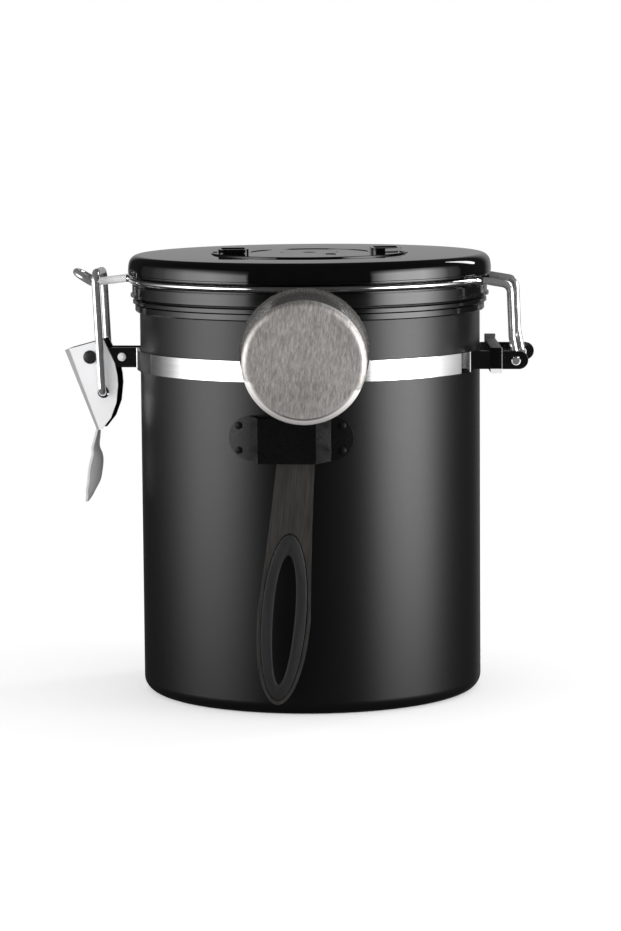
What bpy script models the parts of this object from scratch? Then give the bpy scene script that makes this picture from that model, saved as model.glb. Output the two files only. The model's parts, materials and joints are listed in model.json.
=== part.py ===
"""A vacuum coffee canister: a steel cup with a wire-bail lid, an over-centre latch, a date dial and a scoop.

The canister's axis is Z and its base rests on z = 0. The scoop hangs on the front, which is -Y, the latch is
on the left (-X) and the hinge on the right (+X). Every named size is a real size in metres.
"""

import math

import bmesh
import bpy
from mathutils import Matrix, Vector

MM = 0.001

# Shared fits and facet counts
SEAT_GAP = 0.3 * MM
RUNNING_GAP = 0.3 * MM
CUT_OVERRUN = 3.0 * MM
ROUND_STEPS = 40
SMALL_STEPS = 16
CORNER_STEPS = 4
WIRE_RESOLUTION = 2
SMOOTH_ANGLE = math.radians(35)

# Steel cup
BODY_RADIUS = 60.0 * MM
BODY_HEIGHT = 140.6 * MM
BODY_WALL = 0.8 * MM
BASE_CORNER_RADIUS = 4.7 * MM
LIP_OVERHANG = 1.2 * MM
LIP_DEPTH = 1.2 * MM

# Collar under the cup's lip
COLLAR_HEIGHT = 4.4 * MM
COLLAR_BAND_WALL = 2.1 * MM
COLLAR_LIP_WALL = 1.3 * MM
COLLAR_GROOVE_WALL = 0.8 * MM
COLLAR_EDGE = 0.4 * MM
COLLAR_BAND_DEPTH = 1.4 * MM

# Lid
LID_OVERHANG = 4.0 * MM
GASKET_THICKNESS = 1.1 * MM
GASKET_WIDTH = 6.9 * MM
SKIRT_WALL = 1.2 * MM
SKIRT_CLEARANCE = 0.8 * MM
SKIRT_DEPTH = 3.8 * MM
WEB_THICKNESS = 1.5 * MM
NECK_OFFSET = 0.9 * MM
NECK_WALL = 1.6 * MM
NECK_HEIGHT = 4.9 * MM
WINDOW_DEPTH = 0.6 * MM
WINDOW_HEIGHT = 3.0 * MM
WINDOW_HALF_ANGLE = math.radians(26)
SHELL_HEIGHT = 7.05 * MM
SHELL_WALL = 2.0 * MM
SHELL_CORNER_RADIUS = 3.5 * MM
SHELL_FACE_RADIUS = 12.0 * MM
SHELL_FACE_TOP = math.radians(13)
SHELL_FACE_BOTTOM = math.radians(-5)
SHELL_LIP_HEIGHT = 0.6 * MM
SHELL_LIP_INSET = 0.3 * MM
PLUG_CLEARANCE = 6.2 * MM
PLUG_DEPTH = 2.4 * MM
PLUG_WALL = 1.2 * MM
PLUG_FLANGE = 5.6 * MM
PLUG_CORNER_RADIUS = 2.5 * MM

# Valve in the middle of the lid
VALVE_PORT_RADIUS = 4.5 * MM
VALVE_RADIUS = 9.0 * MM
VALVE_WALL = 1.6 * MM
VALVE_SEAT_RADIUS = 2.0 * MM
DIAPHRAGM_THICKNESS = 0.8 * MM
DIAPHRAGM_CROWN = 0.5 * MM
CAP_STEM_RADIUS = 6.2 * MM
CAP_FLANGE_RADIUS = 9.8 * MM
CAP_FLANGE_THICKNESS = 0.6 * MM
CAP_VENT_RADIUS = 2.4 * MM
CAP_STEM_REACH = 1.0 * MM

# Date dial
DIAL_RADIUS = 34.4 * MM
DIAL_RECESS_DEPTH = 2.0 * MM
DIAL_PROUD = 0.5 * MM
DIAL_EDGE = 0.2 * MM
DIAL_CENTRE_RADIUS = 20.8 * MM
DIAL_CENTRE_DEPTH = 0.5 * MM
DIAL_TURN = math.radians(10)
TAB_LENGTH = 11.0 * MM
TAB_WIDTH = 14.0 * MM
TAB_SETBACK = 1.0 * MM
TAB_PROUD = 1.8 * MM
TAB_CORNER_RADIUS = 2.4 * MM
TAB_DISH_DEPTH = 0.5 * MM
TAB_DISH_RIM = 1.2 * MM

# Wires
BAIL_WIRE_RADIUS = 1.25 * MM
BAIL_SEAT_GAP = 0.7 * MM
BAIL_TOP_GAP = 0.35 * MM
BAIL_RING_OFFSET = 2.6 * MM
LINK_WIRE_RADIUS = 1.4 * MM

# Clamp band round the cup
BAND_HEIGHT = 7.0 * MM
BAND_DROP = 22.9 * MM
BAND_THICKNESS = 0.9 * MM
BAND_FOLD_RADIUS = 0.6 * MM

# Hinge on the right
HINGE_REACH = 14.0 * MM
HINGE_ARM_HALF_SPACING = 18.75 * MM
HINGE_ARM_END = 4.2 * MM
HINGE_ARM_HEIGHT = 6.3 * MM
HINGE_ARM_RISE = 0.65 * MM
HINGE_ARM_STEP_INSET = 1.8 * MM
HINGE_ARM_STEP = 1.2 * MM
HINGE_RISE = 0.4 * MM
HINGE_LEG_SETBACK = 2.05 * MM
HINGE_PIN_PROUD = 1.1 * MM
HINGE_PIN_BEND = 1.6 * MM
HINGE_HOLE_CLEARANCE = 0.35 * MM
LEG_TOP_LEAN = 2.2 * MM
LEG_TOP_DROP = 1.55 * MM
LEG_TOP_BEND = 3.0 * MM
LEG_KNEE_LEAN = 1.5 * MM
LEG_KNEE_HEIGHT = 8.0 * MM
LEG_KNEE_BEND = 5.0 * MM
RING_EXIT_BEND = 3.0 * MM
KEEPER_SETBACK = 9.2 * MM
KEEPER_WIDTH = 4.0 * MM
KEEPER_THICKNESS = 1.0 * MM
KEEPER_EDGE = 0.25 * MM
KEEPER_LIP = 1.6 * MM
KEEPER_SKEW = 4.68 * MM

# Catch loop on the left end of the bail wire
CATCH_HALF_SPACING = 4.2 * MM
CATCH_EXIT_BEND = 2.5 * MM
CATCH_DROP = 1.55 * MM
CATCH_KNEE_REACH = 14.6 * MM
CATCH_KNEE_BEND = 2.5 * MM
CATCH_RISE = math.radians(31)
CATCH_NOSE_LENGTH = 7.2 * MM

# Latch on the left
PIVOT_REACH = 18.0 * MM
PIVOT_RISE = 0.2 * MM
LATCH_ARM_HALF_SPACING = 4.35 * MM
LATCH_ARM_END = 3.5 * MM
PIVOT_RADIUS = 1.6 * MM
PIVOT_HEAD_RADIUS = 2.4 * MM
PIVOT_HEAD_HEIGHT = 0.5 * MM
PIVOT_HEAD_GAP = 0.2 * MM
CLAMP_RIVET_SETBACK = 11.3 * MM
CLAMP_RIVET_RADIUS = 1.0 * MM
CLAMP_RIVET_HEAD_RADIUS = 1.5 * MM
CLAMP_RIVET_HEAD_HEIGHT = 0.9 * MM
LEVER_SHEET = 0.8 * MM
LEVER_TOP_REACH = 9.0 * MM
LEVER_TOP_RISE = 2.5 * MM
LEVER_HORN_RISE = 6.3 * MM
LEVER_BELLY = 9.9 * MM
LEVER_DEPTH = 25.9 * MM
LEVER_TOE_LEFT = 2.1 * MM
LEVER_TOE_RIGHT = 3.8 * MM
LEVER_CHEEK_SHARES = ((0.0, 0.485), (0.27, 0.9), (0.40, 0.975), (0.50, 1.0), (0.70, 0.93), (0.87, 0.72))
LINK_PIVOT_DX = 4.6 * MM
LINK_PIVOT_DROP = 12.5 * MM
LINK_HOLE_RADIUS = 2.1 * MM
LINK_HALF_SPACING = 8.3 * MM
LINK_PIN_END = 4.5 * MM
LINK_PIN_BEND = 1.7 * MM
LINK_LENGTH = 42.5 * MM
LINK_LEAN = 1.9 * MM
LINK_TOP_BEND = 3.2 * MM

# Finger tab of the lever: the first number in each row is the place from the neck to the tip
FINGER_LENGTH = 28.4 * MM
FINGER_HALF_WIDTH = 5.6 * MM
FINGER_DISH = 3.5 * MM
FINGER_SWEEP = 4.9 * MM
FINGER_OVERLAP = 2.0 * MM
FINGER_X = 1.7 * MM
FINGER_SWEEP_SHARES = (
    (0.0, 0.0),
    (0.17, 0.08),
    (0.3, 0.12),
    (0.4, -0.09),
    (0.48, -0.14),
    (0.6, -0.07),
    (0.73, 0.09),
    (0.83, 0.39),
    (0.94, 0.74),
    (1.0, 1.0),
)
FINGER_WIDTH_SHARES = (
    (0.0, 0.42),
    (0.18, 0.7),
    (0.32, 0.78),
    (0.5, 1.0),
    (0.75, 0.86),
    (0.92, 0.5),
    (1.0, 0.22),
)
FINGER_DISH_SHARES = (
    (0.0, 0.02),
    (0.18, 0.2),
    (0.33, 0.48),
    (0.48, 0.91),
    (0.65, 1.0),
    (0.82, 0.7),
    (1.0, 0.05),
)
FINGER_STEPS = 14
FINGER_ACROSS_STEPS = 6

# Bracket that holds the scoop
BRACKET_SHEET = 0.8 * MM
BRACKET_DROP = 22.5 * MM
BRACKET_HEIGHT = 15.2 * MM
BRACKET_WIDTH = 42.6 * MM
BRACKET_FRONT_HALF = 10.0 * MM
BRACKET_BASE_HALF = 13.6 * MM
BRACKET_STAND_OFF = 9.7 * MM
BRACKET_RIVET_X = 17.7 * MM
BRACKET_RIVET_SPACING = 8.4 * MM
BRACKET_RIVET_RADIUS = 0.7 * MM
BRACKET_RIVET_HEAD_RADIUS = 1.2 * MM
BRACKET_RIVET_HEAD_HEIGHT = 0.4 * MM

# Scoop: it leans in the bracket and turns a little to its right
SCOOP_LEAN = math.radians(4.9)
SCOOP_YAW = math.radians(6.7)
SCOOP_MOUTH_X = 5.7 * MM
SCOOP_STAND_OFF = 4.8 * MM
BOWL_MOUTH_RADIUS = 21.85 * MM
BOWL_WALL_RADIUS = 21.1 * MM
BOWL_FLOOR_RADIUS = 20.7 * MM
BOWL_DEPTH = 25.0 * MM
BOWL_SHEET = 0.8 * MM
BOWL_CORNER_RADIUS = 2.4 * MM
BOWL_LIP_THICKNESS = 1.2 * MM
BOWL_STEPS = 36
BOWL_DROOP = math.radians(3.8)
HANDLE_LENGTH = 120.2 * MM
HANDLE_THICKNESS = 1.2 * MM
HANDLE_NECK_HALF = 6.3 * MM
HANDLE_HALF_WIDTH = 9.15 * MM
HANDLE_END_LENGTH = 30.2 * MM
HANDLE_NECK_END = 28.0 * MM
HANDLE_TAPER_POWER = 1.6
HANDLE_STEPS = 12
GRIP_RIM = 1.3 * MM
GRIP_LENGTH = 57.5 * MM
GRIP_THICKNESS = 2.4 * MM
GRIP_EDGE = 0.5 * MM
SLOT_HALF_WIDTH = 3.7 * MM
SLOT_TOP_WALL = 7.6 * MM
SLOT_BOTTOM_WALL = 5.9 * MM
SLOT_WIDEST_RISE = 2.0 * MM
EGG_STEPS = 12

# Places that follow from the sizes above
LID_RADIUS = BODY_RADIUS + LID_OVERHANG
NECK_RADIUS = BODY_RADIUS + NECK_OFFSET
PLUG_RADIUS = BODY_RADIUS - BODY_WALL - PLUG_CLEARANCE
BAIL_RING_RADIUS = BODY_RADIUS + BAIL_RING_OFFSET
BAND_MIDDLE_Z = BODY_HEIGHT - BAND_DROP
HINGE_X = BODY_RADIUS + HINGE_REACH
HINGE_ARM_STEP_X = BODY_RADIUS - HINGE_ARM_STEP_INSET
LEG_TOP_X = HINGE_X - LEG_TOP_LEAN
LEG_KNEE_X = HINGE_X - LEG_KNEE_LEAN
KEEPER_X = HINGE_X - KEEPER_SETBACK
PIVOT_X = -(BODY_RADIUS + PIVOT_REACH)
CLAMP_RIVET_X = PIVOT_X + CLAMP_RIVET_SETBACK
CATCH_KNEE_X = -(BAIL_RING_RADIUS + CATCH_KNEE_REACH)
BRACKET_MIDDLE_Z = BAND_MIDDLE_Z - BRACKET_DROP
SCOOP_MOUTH_Y = -(BODY_RADIUS + SCOOP_STAND_OFF)
HANDLE_WIDEST_AT = HANDLE_LENGTH - HANDLE_END_LENGTH
GRIP_BOTTOM_AT = HANDLE_LENGTH - GRIP_RIM
GRIP_TOP_AT = GRIP_BOTTOM_AT - GRIP_LENGTH
SLOT_TOP_AT = GRIP_TOP_AT + SLOT_TOP_WALL
SLOT_BOTTOM_AT = GRIP_BOTTOM_AT - SLOT_BOTTOM_WALL
SLOT_WIDEST_AT = HANDLE_WIDEST_AT - SLOT_WIDEST_RISE
LIP_RADIUS = BODY_RADIUS + LIP_OVERHANG
GASKET_RADIUS = LIP_RADIUS + SEAT_GAP
GASKET_INNER_RADIUS = GASKET_RADIUS - GASKET_WIDTH
LIP_BOTTOM_Z = BODY_HEIGHT - LIP_DEPTH
GASKET_BOTTOM_Z = BODY_HEIGHT + SEAT_GAP
GASKET_TOP_Z = GASKET_BOTTOM_Z + GASKET_THICKNESS
WEB_BOTTOM_Z = GASKET_TOP_Z + SEAT_GAP
WEB_TOP_Z = WEB_BOTTOM_Z + WEB_THICKNESS
SKIRT_INNER_RADIUS = LIP_RADIUS + SKIRT_CLEARANCE
SKIRT_RADIUS = SKIRT_INNER_RADIUS + SKIRT_WALL
RING_Z = WEB_TOP_Z + BAIL_SEAT_GAP + BAIL_WIRE_RADIUS
SHELL_BOTTOM_Z = RING_Z + BAIL_WIRE_RADIUS + BAIL_TOP_GAP
SHELL_TOP_Z = SHELL_BOTTOM_Z + SHELL_HEIGHT
RECESS_Z = SHELL_TOP_Z - DIAL_RECESS_DEPTH
RECESS_UNDERSIDE_Z = RECESS_Z - SHELL_WALL
PLUG_BOTTOM_Z = BODY_HEIGHT - PLUG_DEPTH
DIAL_BOTTOM_Z = RECESS_Z + SEAT_GAP
DIAL_TOP_Z = SHELL_TOP_Z + DIAL_PROUD
CAP_TOP_Z = DIAL_TOP_Z - DIAL_CENTRE_DEPTH
CAP_FLANGE_Z = CAP_TOP_Z - CAP_FLANGE_THICKNESS
HINGE_POINT = Vector((HINGE_X, 0, BAND_MIDDLE_Z + HINGE_RISE))
PIVOT_POINT = Vector((PIVOT_X, 0, BAND_MIDDLE_Z + PIVOT_RISE))
HINGE_ARM_Z = BAND_MIDDLE_Z + HINGE_ARM_RISE
HINGE_ARM_TOP_Z = HINGE_ARM_Z + HINGE_ARM_HEIGHT / 2
HINGE_ARM_BOTTOM_Z = HINGE_ARM_Z - HINGE_ARM_HEIGHT / 2
BAND_TOP_Z = BAND_MIDDLE_Z + BAND_HEIGHT / 2
BAND_BOTTOM_Z = BAND_MIDDLE_Z - BAND_HEIGHT / 2
CLAMP_RIVET_POINT = Vector((CLAMP_RIVET_X, 0, BAND_MIDDLE_Z + PIVOT_RISE))
LINK_POINT = PIVOT_POINT + Vector((LINK_PIVOT_DX, 0, -LINK_PIVOT_DROP))
BAND_INNER_RADIUS = BODY_RADIUS + SEAT_GAP
BAND_MIDDLE_RADIUS = BAND_INNER_RADIUS + BAND_THICKNESS / 2
HINGE_ARM_FACE = HINGE_ARM_HALF_SPACING + BAND_THICKNESS / 2
LATCH_ARM_FACE = LATCH_ARM_HALF_SPACING + BAND_THICKNESS / 2
LEVER_INNER_HALF = LATCH_ARM_FACE + RUNNING_GAP
LEVER_OUTER_HALF = LEVER_INNER_HALF + LEVER_SHEET
BRACKET_TOP_Z = BRACKET_MIDDLE_Z + BRACKET_HEIGHT / 2
SCOOP_MOUTH_Z = BRACKET_TOP_Z + SEAT_GAP + BOWL_MOUTH_RADIUS
SCOOP_POINT = Vector((SCOOP_MOUTH_X, SCOOP_MOUTH_Y, SCOOP_MOUTH_Z))


def clear_scene():
    for obj in list(bpy.data.objects):
        bpy.data.objects.remove(obj, do_unlink=True)


def material(name, colour, roughness, metallic):
    made = bpy.data.materials.new(name)
    made.use_nodes = True
    shader = made.node_tree.nodes["Principled BSDF"]
    shader.inputs["Base Color"].default_value = (*colour, 1)
    shader.inputs["Roughness"].default_value = roughness
    shader.inputs["Metallic"].default_value = metallic
    return made


def link_object(name, data, surface=None):
    obj = bpy.data.objects.new(name, data)
    bpy.context.scene.collection.objects.link(obj)
    if surface:
        data.materials.append(surface)
    return obj


def mesh_object(name, bm, surface=None):
    """The finished bmesh as an object, faces out and shaded smooth between its sharp edges."""
    bmesh.ops.recalc_face_normals(bm, faces=bm.faces)
    mesh = bpy.data.meshes.new(name)
    bm.to_mesh(mesh)
    bm.free()
    mesh.shade_smooth()
    mesh.set_sharp_from_angle(angle=SMOOTH_ANGLE)
    return link_object(name, mesh, surface)


def joint_empty(name, point):
    """A marker on a joint's axis, which the pieces that turn about it are parented to."""
    empty = bpy.data.objects.new(name, None)
    empty.location = point
    bpy.context.scene.collection.objects.link(empty)
    return empty


def carried_by(obj, empty):
    """Parents a piece drawn about the canister's axis to a joint's marker, and leaves it where it is."""
    obj.parent = empty
    obj.location = -empty.location
    return obj


def arc(centre, radius, start, end, steps=CORNER_STEPS):
    """Points on a circle from the start angle to the end angle, in degrees."""
    points = []
    for i in range(steps + 1):
        angle = math.radians(start + (end - start) * i / steps)
        points.append((centre[0] + radius * math.cos(angle), centre[1] + radius * math.sin(angle)))
    return points


def blended(shares, at):
    """A smooth curve through the rows of a table of shares."""
    last = len(shares) - 1
    for i in range(last):
        (a, low), (b, high) = shares[i], shares[i + 1]
        if at > b and i < last - 1:
            continue
        before = shares[max(i - 1, 0)]
        after = shares[min(i + 2, last)]
        slope_in = (high - before[1]) / (b - before[0]) * (b - a)
        slope_out = (after[1] - low) / (after[0] - a) * (b - a)
        t = min((at - a) / (b - a), 1)
        start = (2 * t**3 - 3 * t**2 + 1) * low + (t**3 - 2 * t**2 + t) * slope_in
        return start + (3 * t**2 - 2 * t**3) * high + (t**3 - t**2) * slope_out
    return low


def turned(name, outline, surface=None, steps=ROUND_STEPS):
    """A closed outline of (radius, height) points turned about Z."""
    bm = bmesh.new()
    rings = []
    for radius, height in outline:
        if radius == 0:
            rings.append([bm.verts.new((0, 0, height))] * steps)
            continue
        turn = [2 * math.pi * i / steps for i in range(steps)]
        rings.append([bm.verts.new((radius * math.cos(a), radius * math.sin(a), height)) for a in turn])
    for first, second in zip(rings, rings[1:] + rings[:1]):
        for i in range(steps):
            corners = [first[i], first[(i + 1) % steps], second[(i + 1) % steps], second[i]]
            face = list(dict.fromkeys(corners))
            if len(face) > 2:
                bm.faces.new(face)
    return mesh_object(name, bm, surface)


def extruded(name, outline, low, high, axis, surface=None):
    """A closed plane outline drawn out along one axis: (x, y) along Z, (x, z) along Y or (y, z) along X."""
    places = {"Z": lambda a, b, c: (a, b, c), "Y": lambda a, b, c: (a, c, b), "X": lambda a, b, c: (c, a, b)}
    bm = bmesh.new()
    near = [bm.verts.new(places[axis](a, b, low)) for a, b in outline]
    far = [bm.verts.new(places[axis](a, b, high)) for a, b in outline]
    bm.faces.new(near)
    bm.faces.new(far)
    count = len(outline)
    for i in range(count):
        bm.faces.new((near[i], near[(i + 1) % count], far[(i + 1) % count], far[i]))
    return mesh_object(name, bm, surface)


def boolean(obj, other, operation):
    """Cuts, joins or intersects with another solid drawn in the object's own frame."""
    other.parent = obj
    other.hide_render = True
    other.display_type = "WIRE"
    modifier = obj.modifiers.new(other.name, "BOOLEAN")
    modifier.operation = operation
    modifier.object = other
    modifier.solver = "EXACT"
    return obj


def beveled(obj, width, segments=2):
    modifier = obj.modifiers.new("edge", "BEVEL")
    modifier.width = width
    modifier.segments = segments
    modifier.limit_method = "ANGLE"
    modifier.angle_limit = math.radians(50)
    return obj


def drill(obj, name, point, radius, reach, axis="Y", steps=SMALL_STEPS):
    """A round hole through the object, along Y or Z, at a point of its own frame."""
    circle = arc((0, 0), radius, 0, 360, steps)[:-1]
    if axis == "Y":
        outline = [(point.x + a, point.z + b) for a, b in circle]
        middle = point.y
    else:
        outline = [(point.x + a, point.y + b) for a, b in circle]
        middle = point.z
    return boolean(obj, extruded(name, outline, middle - reach, middle + reach, axis), "DIFFERENCE")


def stadium(x_low, x_high, z_low, z_high):
    """A long outline with half-round ends."""
    radius = (z_high - z_low) / 2
    middle = (z_high + z_low) / 2
    right = arc((x_high - radius, middle), radius, -90, 90, 2 * CORNER_STEPS)
    left = arc((x_low + radius, middle), radius, 90, 270, 2 * CORNER_STEPS)
    return right + left


def strip_outline(path, thickness):
    """The closed outline of a bent strip whose middle line is the path."""
    left = []
    right = []
    for i, point in enumerate(path):
        before = Vector(path[max(i - 1, 0)])
        here = Vector(point)
        after = Vector(path[min(i + 1, len(path) - 1)])
        first = (here - before) if i else (after - here)
        second = (after - here) if i < len(path) - 1 else first
        first.normalize()
        second.normalize()
        along = (first + second).normalized()
        normal = Vector((-along.y, along.x))
        reach = thickness / 2 / normal.dot(Vector((-first.y, first.x)))
        left.append(tuple(here + normal * reach))
        right.append(tuple(here - normal * reach))
    return left + right[::-1]


def bent(corners, steps=CORNER_STEPS):
    """Points along a wire that runs from corner to corner, with each corner rounded to its bend radius."""
    points = [corners[0][0]]
    for (before, _), (here, radius), (after, _) in zip(corners, corners[1:], corners[2:]):
        into = (here - before).normalized()
        out = (after - here).normalized()
        turn = into.angle(out)
        run = radius * math.tan(turn / 2)
        across = (out - into * into.dot(out)).normalized()
        start = here - into * run
        centre = start + across * radius
        for i in range(steps + 1):
            angle = turn * i / steps
            points.append(centre - across * radius * math.cos(angle) + into * radius * math.sin(angle))
    points.append(corners[-1][0])
    return points


def wire(name, points, radius, surface):
    """A round wire with closed ends along a list of points."""
    curve = bpy.data.curves.new(name, "CURVE")
    curve.dimensions = "3D"
    curve.bevel_depth = radius
    curve.bevel_resolution = WIRE_RESOLUTION
    curve.use_fill_caps = True
    spline = curve.splines.new("POLY")
    spline.points.add(len(points) - 1)
    for place, point in zip(spline.points, points):
        place.co = (*point, 1)
    return link_object(name, curve, surface)


def egg(half_width, top, widest, bottom, steps=EGG_STEPS):
    """A closed oval of (x, z) points below the scoop's mouth, with its own length above and below the widest."""
    points = []
    for i in range(2 * steps):
        angle = math.pi * i / steps
        across = half_width * math.sin(angle)
        along = math.cos(angle)
        reach = (widest - top) if along > 0 else (bottom - widest)
        points.append((across, -(widest - reach * along)))
    return points


def steel_cup(surface):
    inner_radius = BODY_RADIUS - BODY_WALL
    inner_corner = BASE_CORNER_RADIUS - BODY_WALL
    corner_r = BODY_RADIUS - BASE_CORNER_RADIUS
    outside = arc((corner_r, BASE_CORNER_RADIUS), BASE_CORNER_RADIUS, -90, 0)
    lip = [
        (BODY_RADIUS, LIP_BOTTOM_Z),
        (LIP_RADIUS - LIP_DEPTH / 4, LIP_BOTTOM_Z),
        (LIP_RADIUS, LIP_BOTTOM_Z + LIP_DEPTH / 4),
        (LIP_RADIUS, BODY_HEIGHT - LIP_DEPTH / 4),
        (LIP_RADIUS - LIP_DEPTH / 4, BODY_HEIGHT),
        (inner_radius, BODY_HEIGHT),
    ]
    inside = arc((corner_r, BASE_CORNER_RADIUS), inner_corner, 0, -90)
    return turned("canister_body", [(0, 0)] + outside + lip + inside + [(0, BODY_WALL)], surface)


def neck_collar(surface):
    inner = BODY_RADIUS + SEAT_GAP
    top = LIP_BOTTOM_Z - SEAT_GAP
    bottom = top - COLLAR_HEIGHT
    band_bottom = top - COLLAR_BAND_DEPTH
    groove = band_bottom - COLLAR_EDGE
    outline = [
        (inner, bottom),
        (inner + COLLAR_LIP_WALL - COLLAR_EDGE, bottom),
        (inner + COLLAR_LIP_WALL, bottom + COLLAR_EDGE),
        (inner + COLLAR_LIP_WALL, groove - COLLAR_EDGE),
        (inner + COLLAR_GROOVE_WALL, groove),
        (inner + COLLAR_GROOVE_WALL, band_bottom),
        (inner + COLLAR_BAND_WALL, band_bottom),
        (inner + COLLAR_BAND_WALL, top - COLLAR_EDGE),
        (inner + COLLAR_BAND_WALL - COLLAR_EDGE, top),
        (inner, top),
    ]
    return turned("neck_collar", outline, surface)


def band_arc(radius, from_angle, to_angle, steps):
    return arc((0, 0), radius, math.degrees(from_angle), math.degrees(to_angle), steps)


def band_edges():
    """The strap's side outline: a round latch end, the band, and a slightly higher round hinge end."""
    latch_radius = BAND_HEIGHT / 2
    hinge_radius = HINGE_ARM_HEIGHT / 2
    latch_end = arc((PIVOT_X - LATCH_ARM_END + latch_radius, BAND_MIDDLE_Z), latch_radius, 90, 270, 12)
    hinge_end = arc((HINGE_X + HINGE_ARM_END - hinge_radius, HINGE_ARM_Z), hinge_radius, -90, 90, 12)
    below = [(HINGE_ARM_STEP_X, BAND_BOTTOM_Z), (HINGE_ARM_STEP_X + HINGE_ARM_STEP, HINGE_ARM_BOTTOM_Z)]
    above = [(HINGE_ARM_STEP_X + HINGE_ARM_STEP, HINGE_ARM_TOP_Z), (HINGE_ARM_STEP_X, BAND_TOP_Z)]
    return latch_end + below + hinge_end + above


def half_band(name, side, surface):
    """One half of the clamp band, folded out into a latch arm on the left and a hinge arm on the right."""
    reach = BAND_MIDDLE_RADIUS
    fold = BAND_FOLD_RADIUS + BAND_THICKNESS / 2
    latch_angle = math.asin((LATCH_ARM_HALF_SPACING + fold) / (reach + fold))
    hinge_angle = math.asin((HINGE_ARM_HALF_SPACING + fold) / (reach + fold))
    latch_centre = ((reach + fold) * -math.cos(latch_angle), -(LATCH_ARM_HALF_SPACING + fold))
    hinge_centre = ((reach + fold) * math.cos(hinge_angle), -(HINGE_ARM_HALF_SPACING + fold))
    path = [(PIVOT_X - LATCH_ARM_END, -LATCH_ARM_HALF_SPACING)]
    path += arc(latch_centre, fold, 90, math.degrees(latch_angle), CORNER_STEPS)
    path += band_arc(reach, -math.pi + latch_angle, -hinge_angle, ROUND_STEPS // 2)[1:-1]
    path += arc(hinge_centre, fold, 180 - math.degrees(hinge_angle), 90, CORNER_STEPS)
    path.append((HINGE_X + HINGE_ARM_END, -HINGE_ARM_HALF_SPACING))
    outline = [(x, side * y) for x, y in strip_outline(path, BAND_THICKNESS)]
    band = extruded(name, outline, BAND_BOTTOM_Z, HINGE_ARM_TOP_Z, "Z", surface)
    boolean(band, extruded(name + "_edges", band_edges(), -LID_RADIUS, LID_RADIUS, "Y"), "INTERSECT")
    holes = (
        ("pivot", PIVOT_POINT, PIVOT_RADIUS + RUNNING_GAP, LATCH_ARM_HALF_SPACING),
        ("rivet", CLAMP_RIVET_POINT, CLAMP_RIVET_RADIUS + SEAT_GAP, LATCH_ARM_HALF_SPACING),
        ("hinge", HINGE_POINT, BAIL_WIRE_RADIUS + HINGE_HOLE_CLEARANCE, HINGE_ARM_HALF_SPACING),
    )
    for hole, point, radius, arm in holes:
        middle = Vector((point.x, -side * arm, point.z))
        drill(band, f"{name}_{hole}_hole", middle, radius, BAND_THICKNESS)
    return band


def hinge_keeper(surface):
    """A folded sleeve round both hinge arms, a little askew, with its rear edge turned up."""
    inner_y = HINGE_ARM_FACE + SEAT_GAP
    inner_z = HINGE_ARM_HEIGHT / 2 + SEAT_GAP
    outer_y = inner_y + KEEPER_THICKNESS
    outer_z = inner_z + KEEPER_THICKNESS
    low = KEEPER_X - KEEPER_WIDTH / 2
    high = KEEPER_X + KEEPER_WIDTH / 2
    sleeve = [
        (-outer_y, -outer_z),
        (outer_y, -outer_z),
        (outer_y, outer_z + KEEPER_LIP),
        (outer_y - KEEPER_THICKNESS, outer_z + KEEPER_LIP),
        (outer_y - KEEPER_THICKNESS, outer_z),
        (-outer_y, outer_z),
    ]
    space = [(-inner_y, -inner_z), (inner_y, -inner_z), (inner_y, inner_z), (-inner_y, inner_z)]
    keeper = extruded("hinge_keeper", sleeve, low, high, "X", surface)
    bore = extruded("keeper_bore", space, low - CUT_OVERRUN, high + CUT_OVERRUN, "X")
    for solid in (keeper, bore):
        for vertex in solid.data.vertices:
            vertex.co.x -= KEEPER_SKEW * vertex.co.y / (2 * inner_y)
    keeper.location.z = HINGE_ARM_Z
    boolean(keeper, bore, "DIFFERENCE")
    return beveled(keeper, KEEPER_EDGE)


def double_headed_pin(name, point, shaft, head, head_height, half_length, surface):
    """A pin along Y with a low domed head at each end, centred on a point."""
    face = half_length
    outline = [
        (0, -face - head_height),
        (head / 2, -face - head_height),
        (head, -face - head_height / 3),
        (head, -face),
        (shaft, -face),
        (shaft, face),
        (head, face),
        (head, face + head_height / 3),
        (head / 2, face + head_height),
        (0, face + head_height),
    ]
    pin = turned(name, outline, surface, SMALL_STEPS)
    pin.rotation_euler = (math.pi / 2, 0, 0)
    pin.location = point
    return pin


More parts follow.
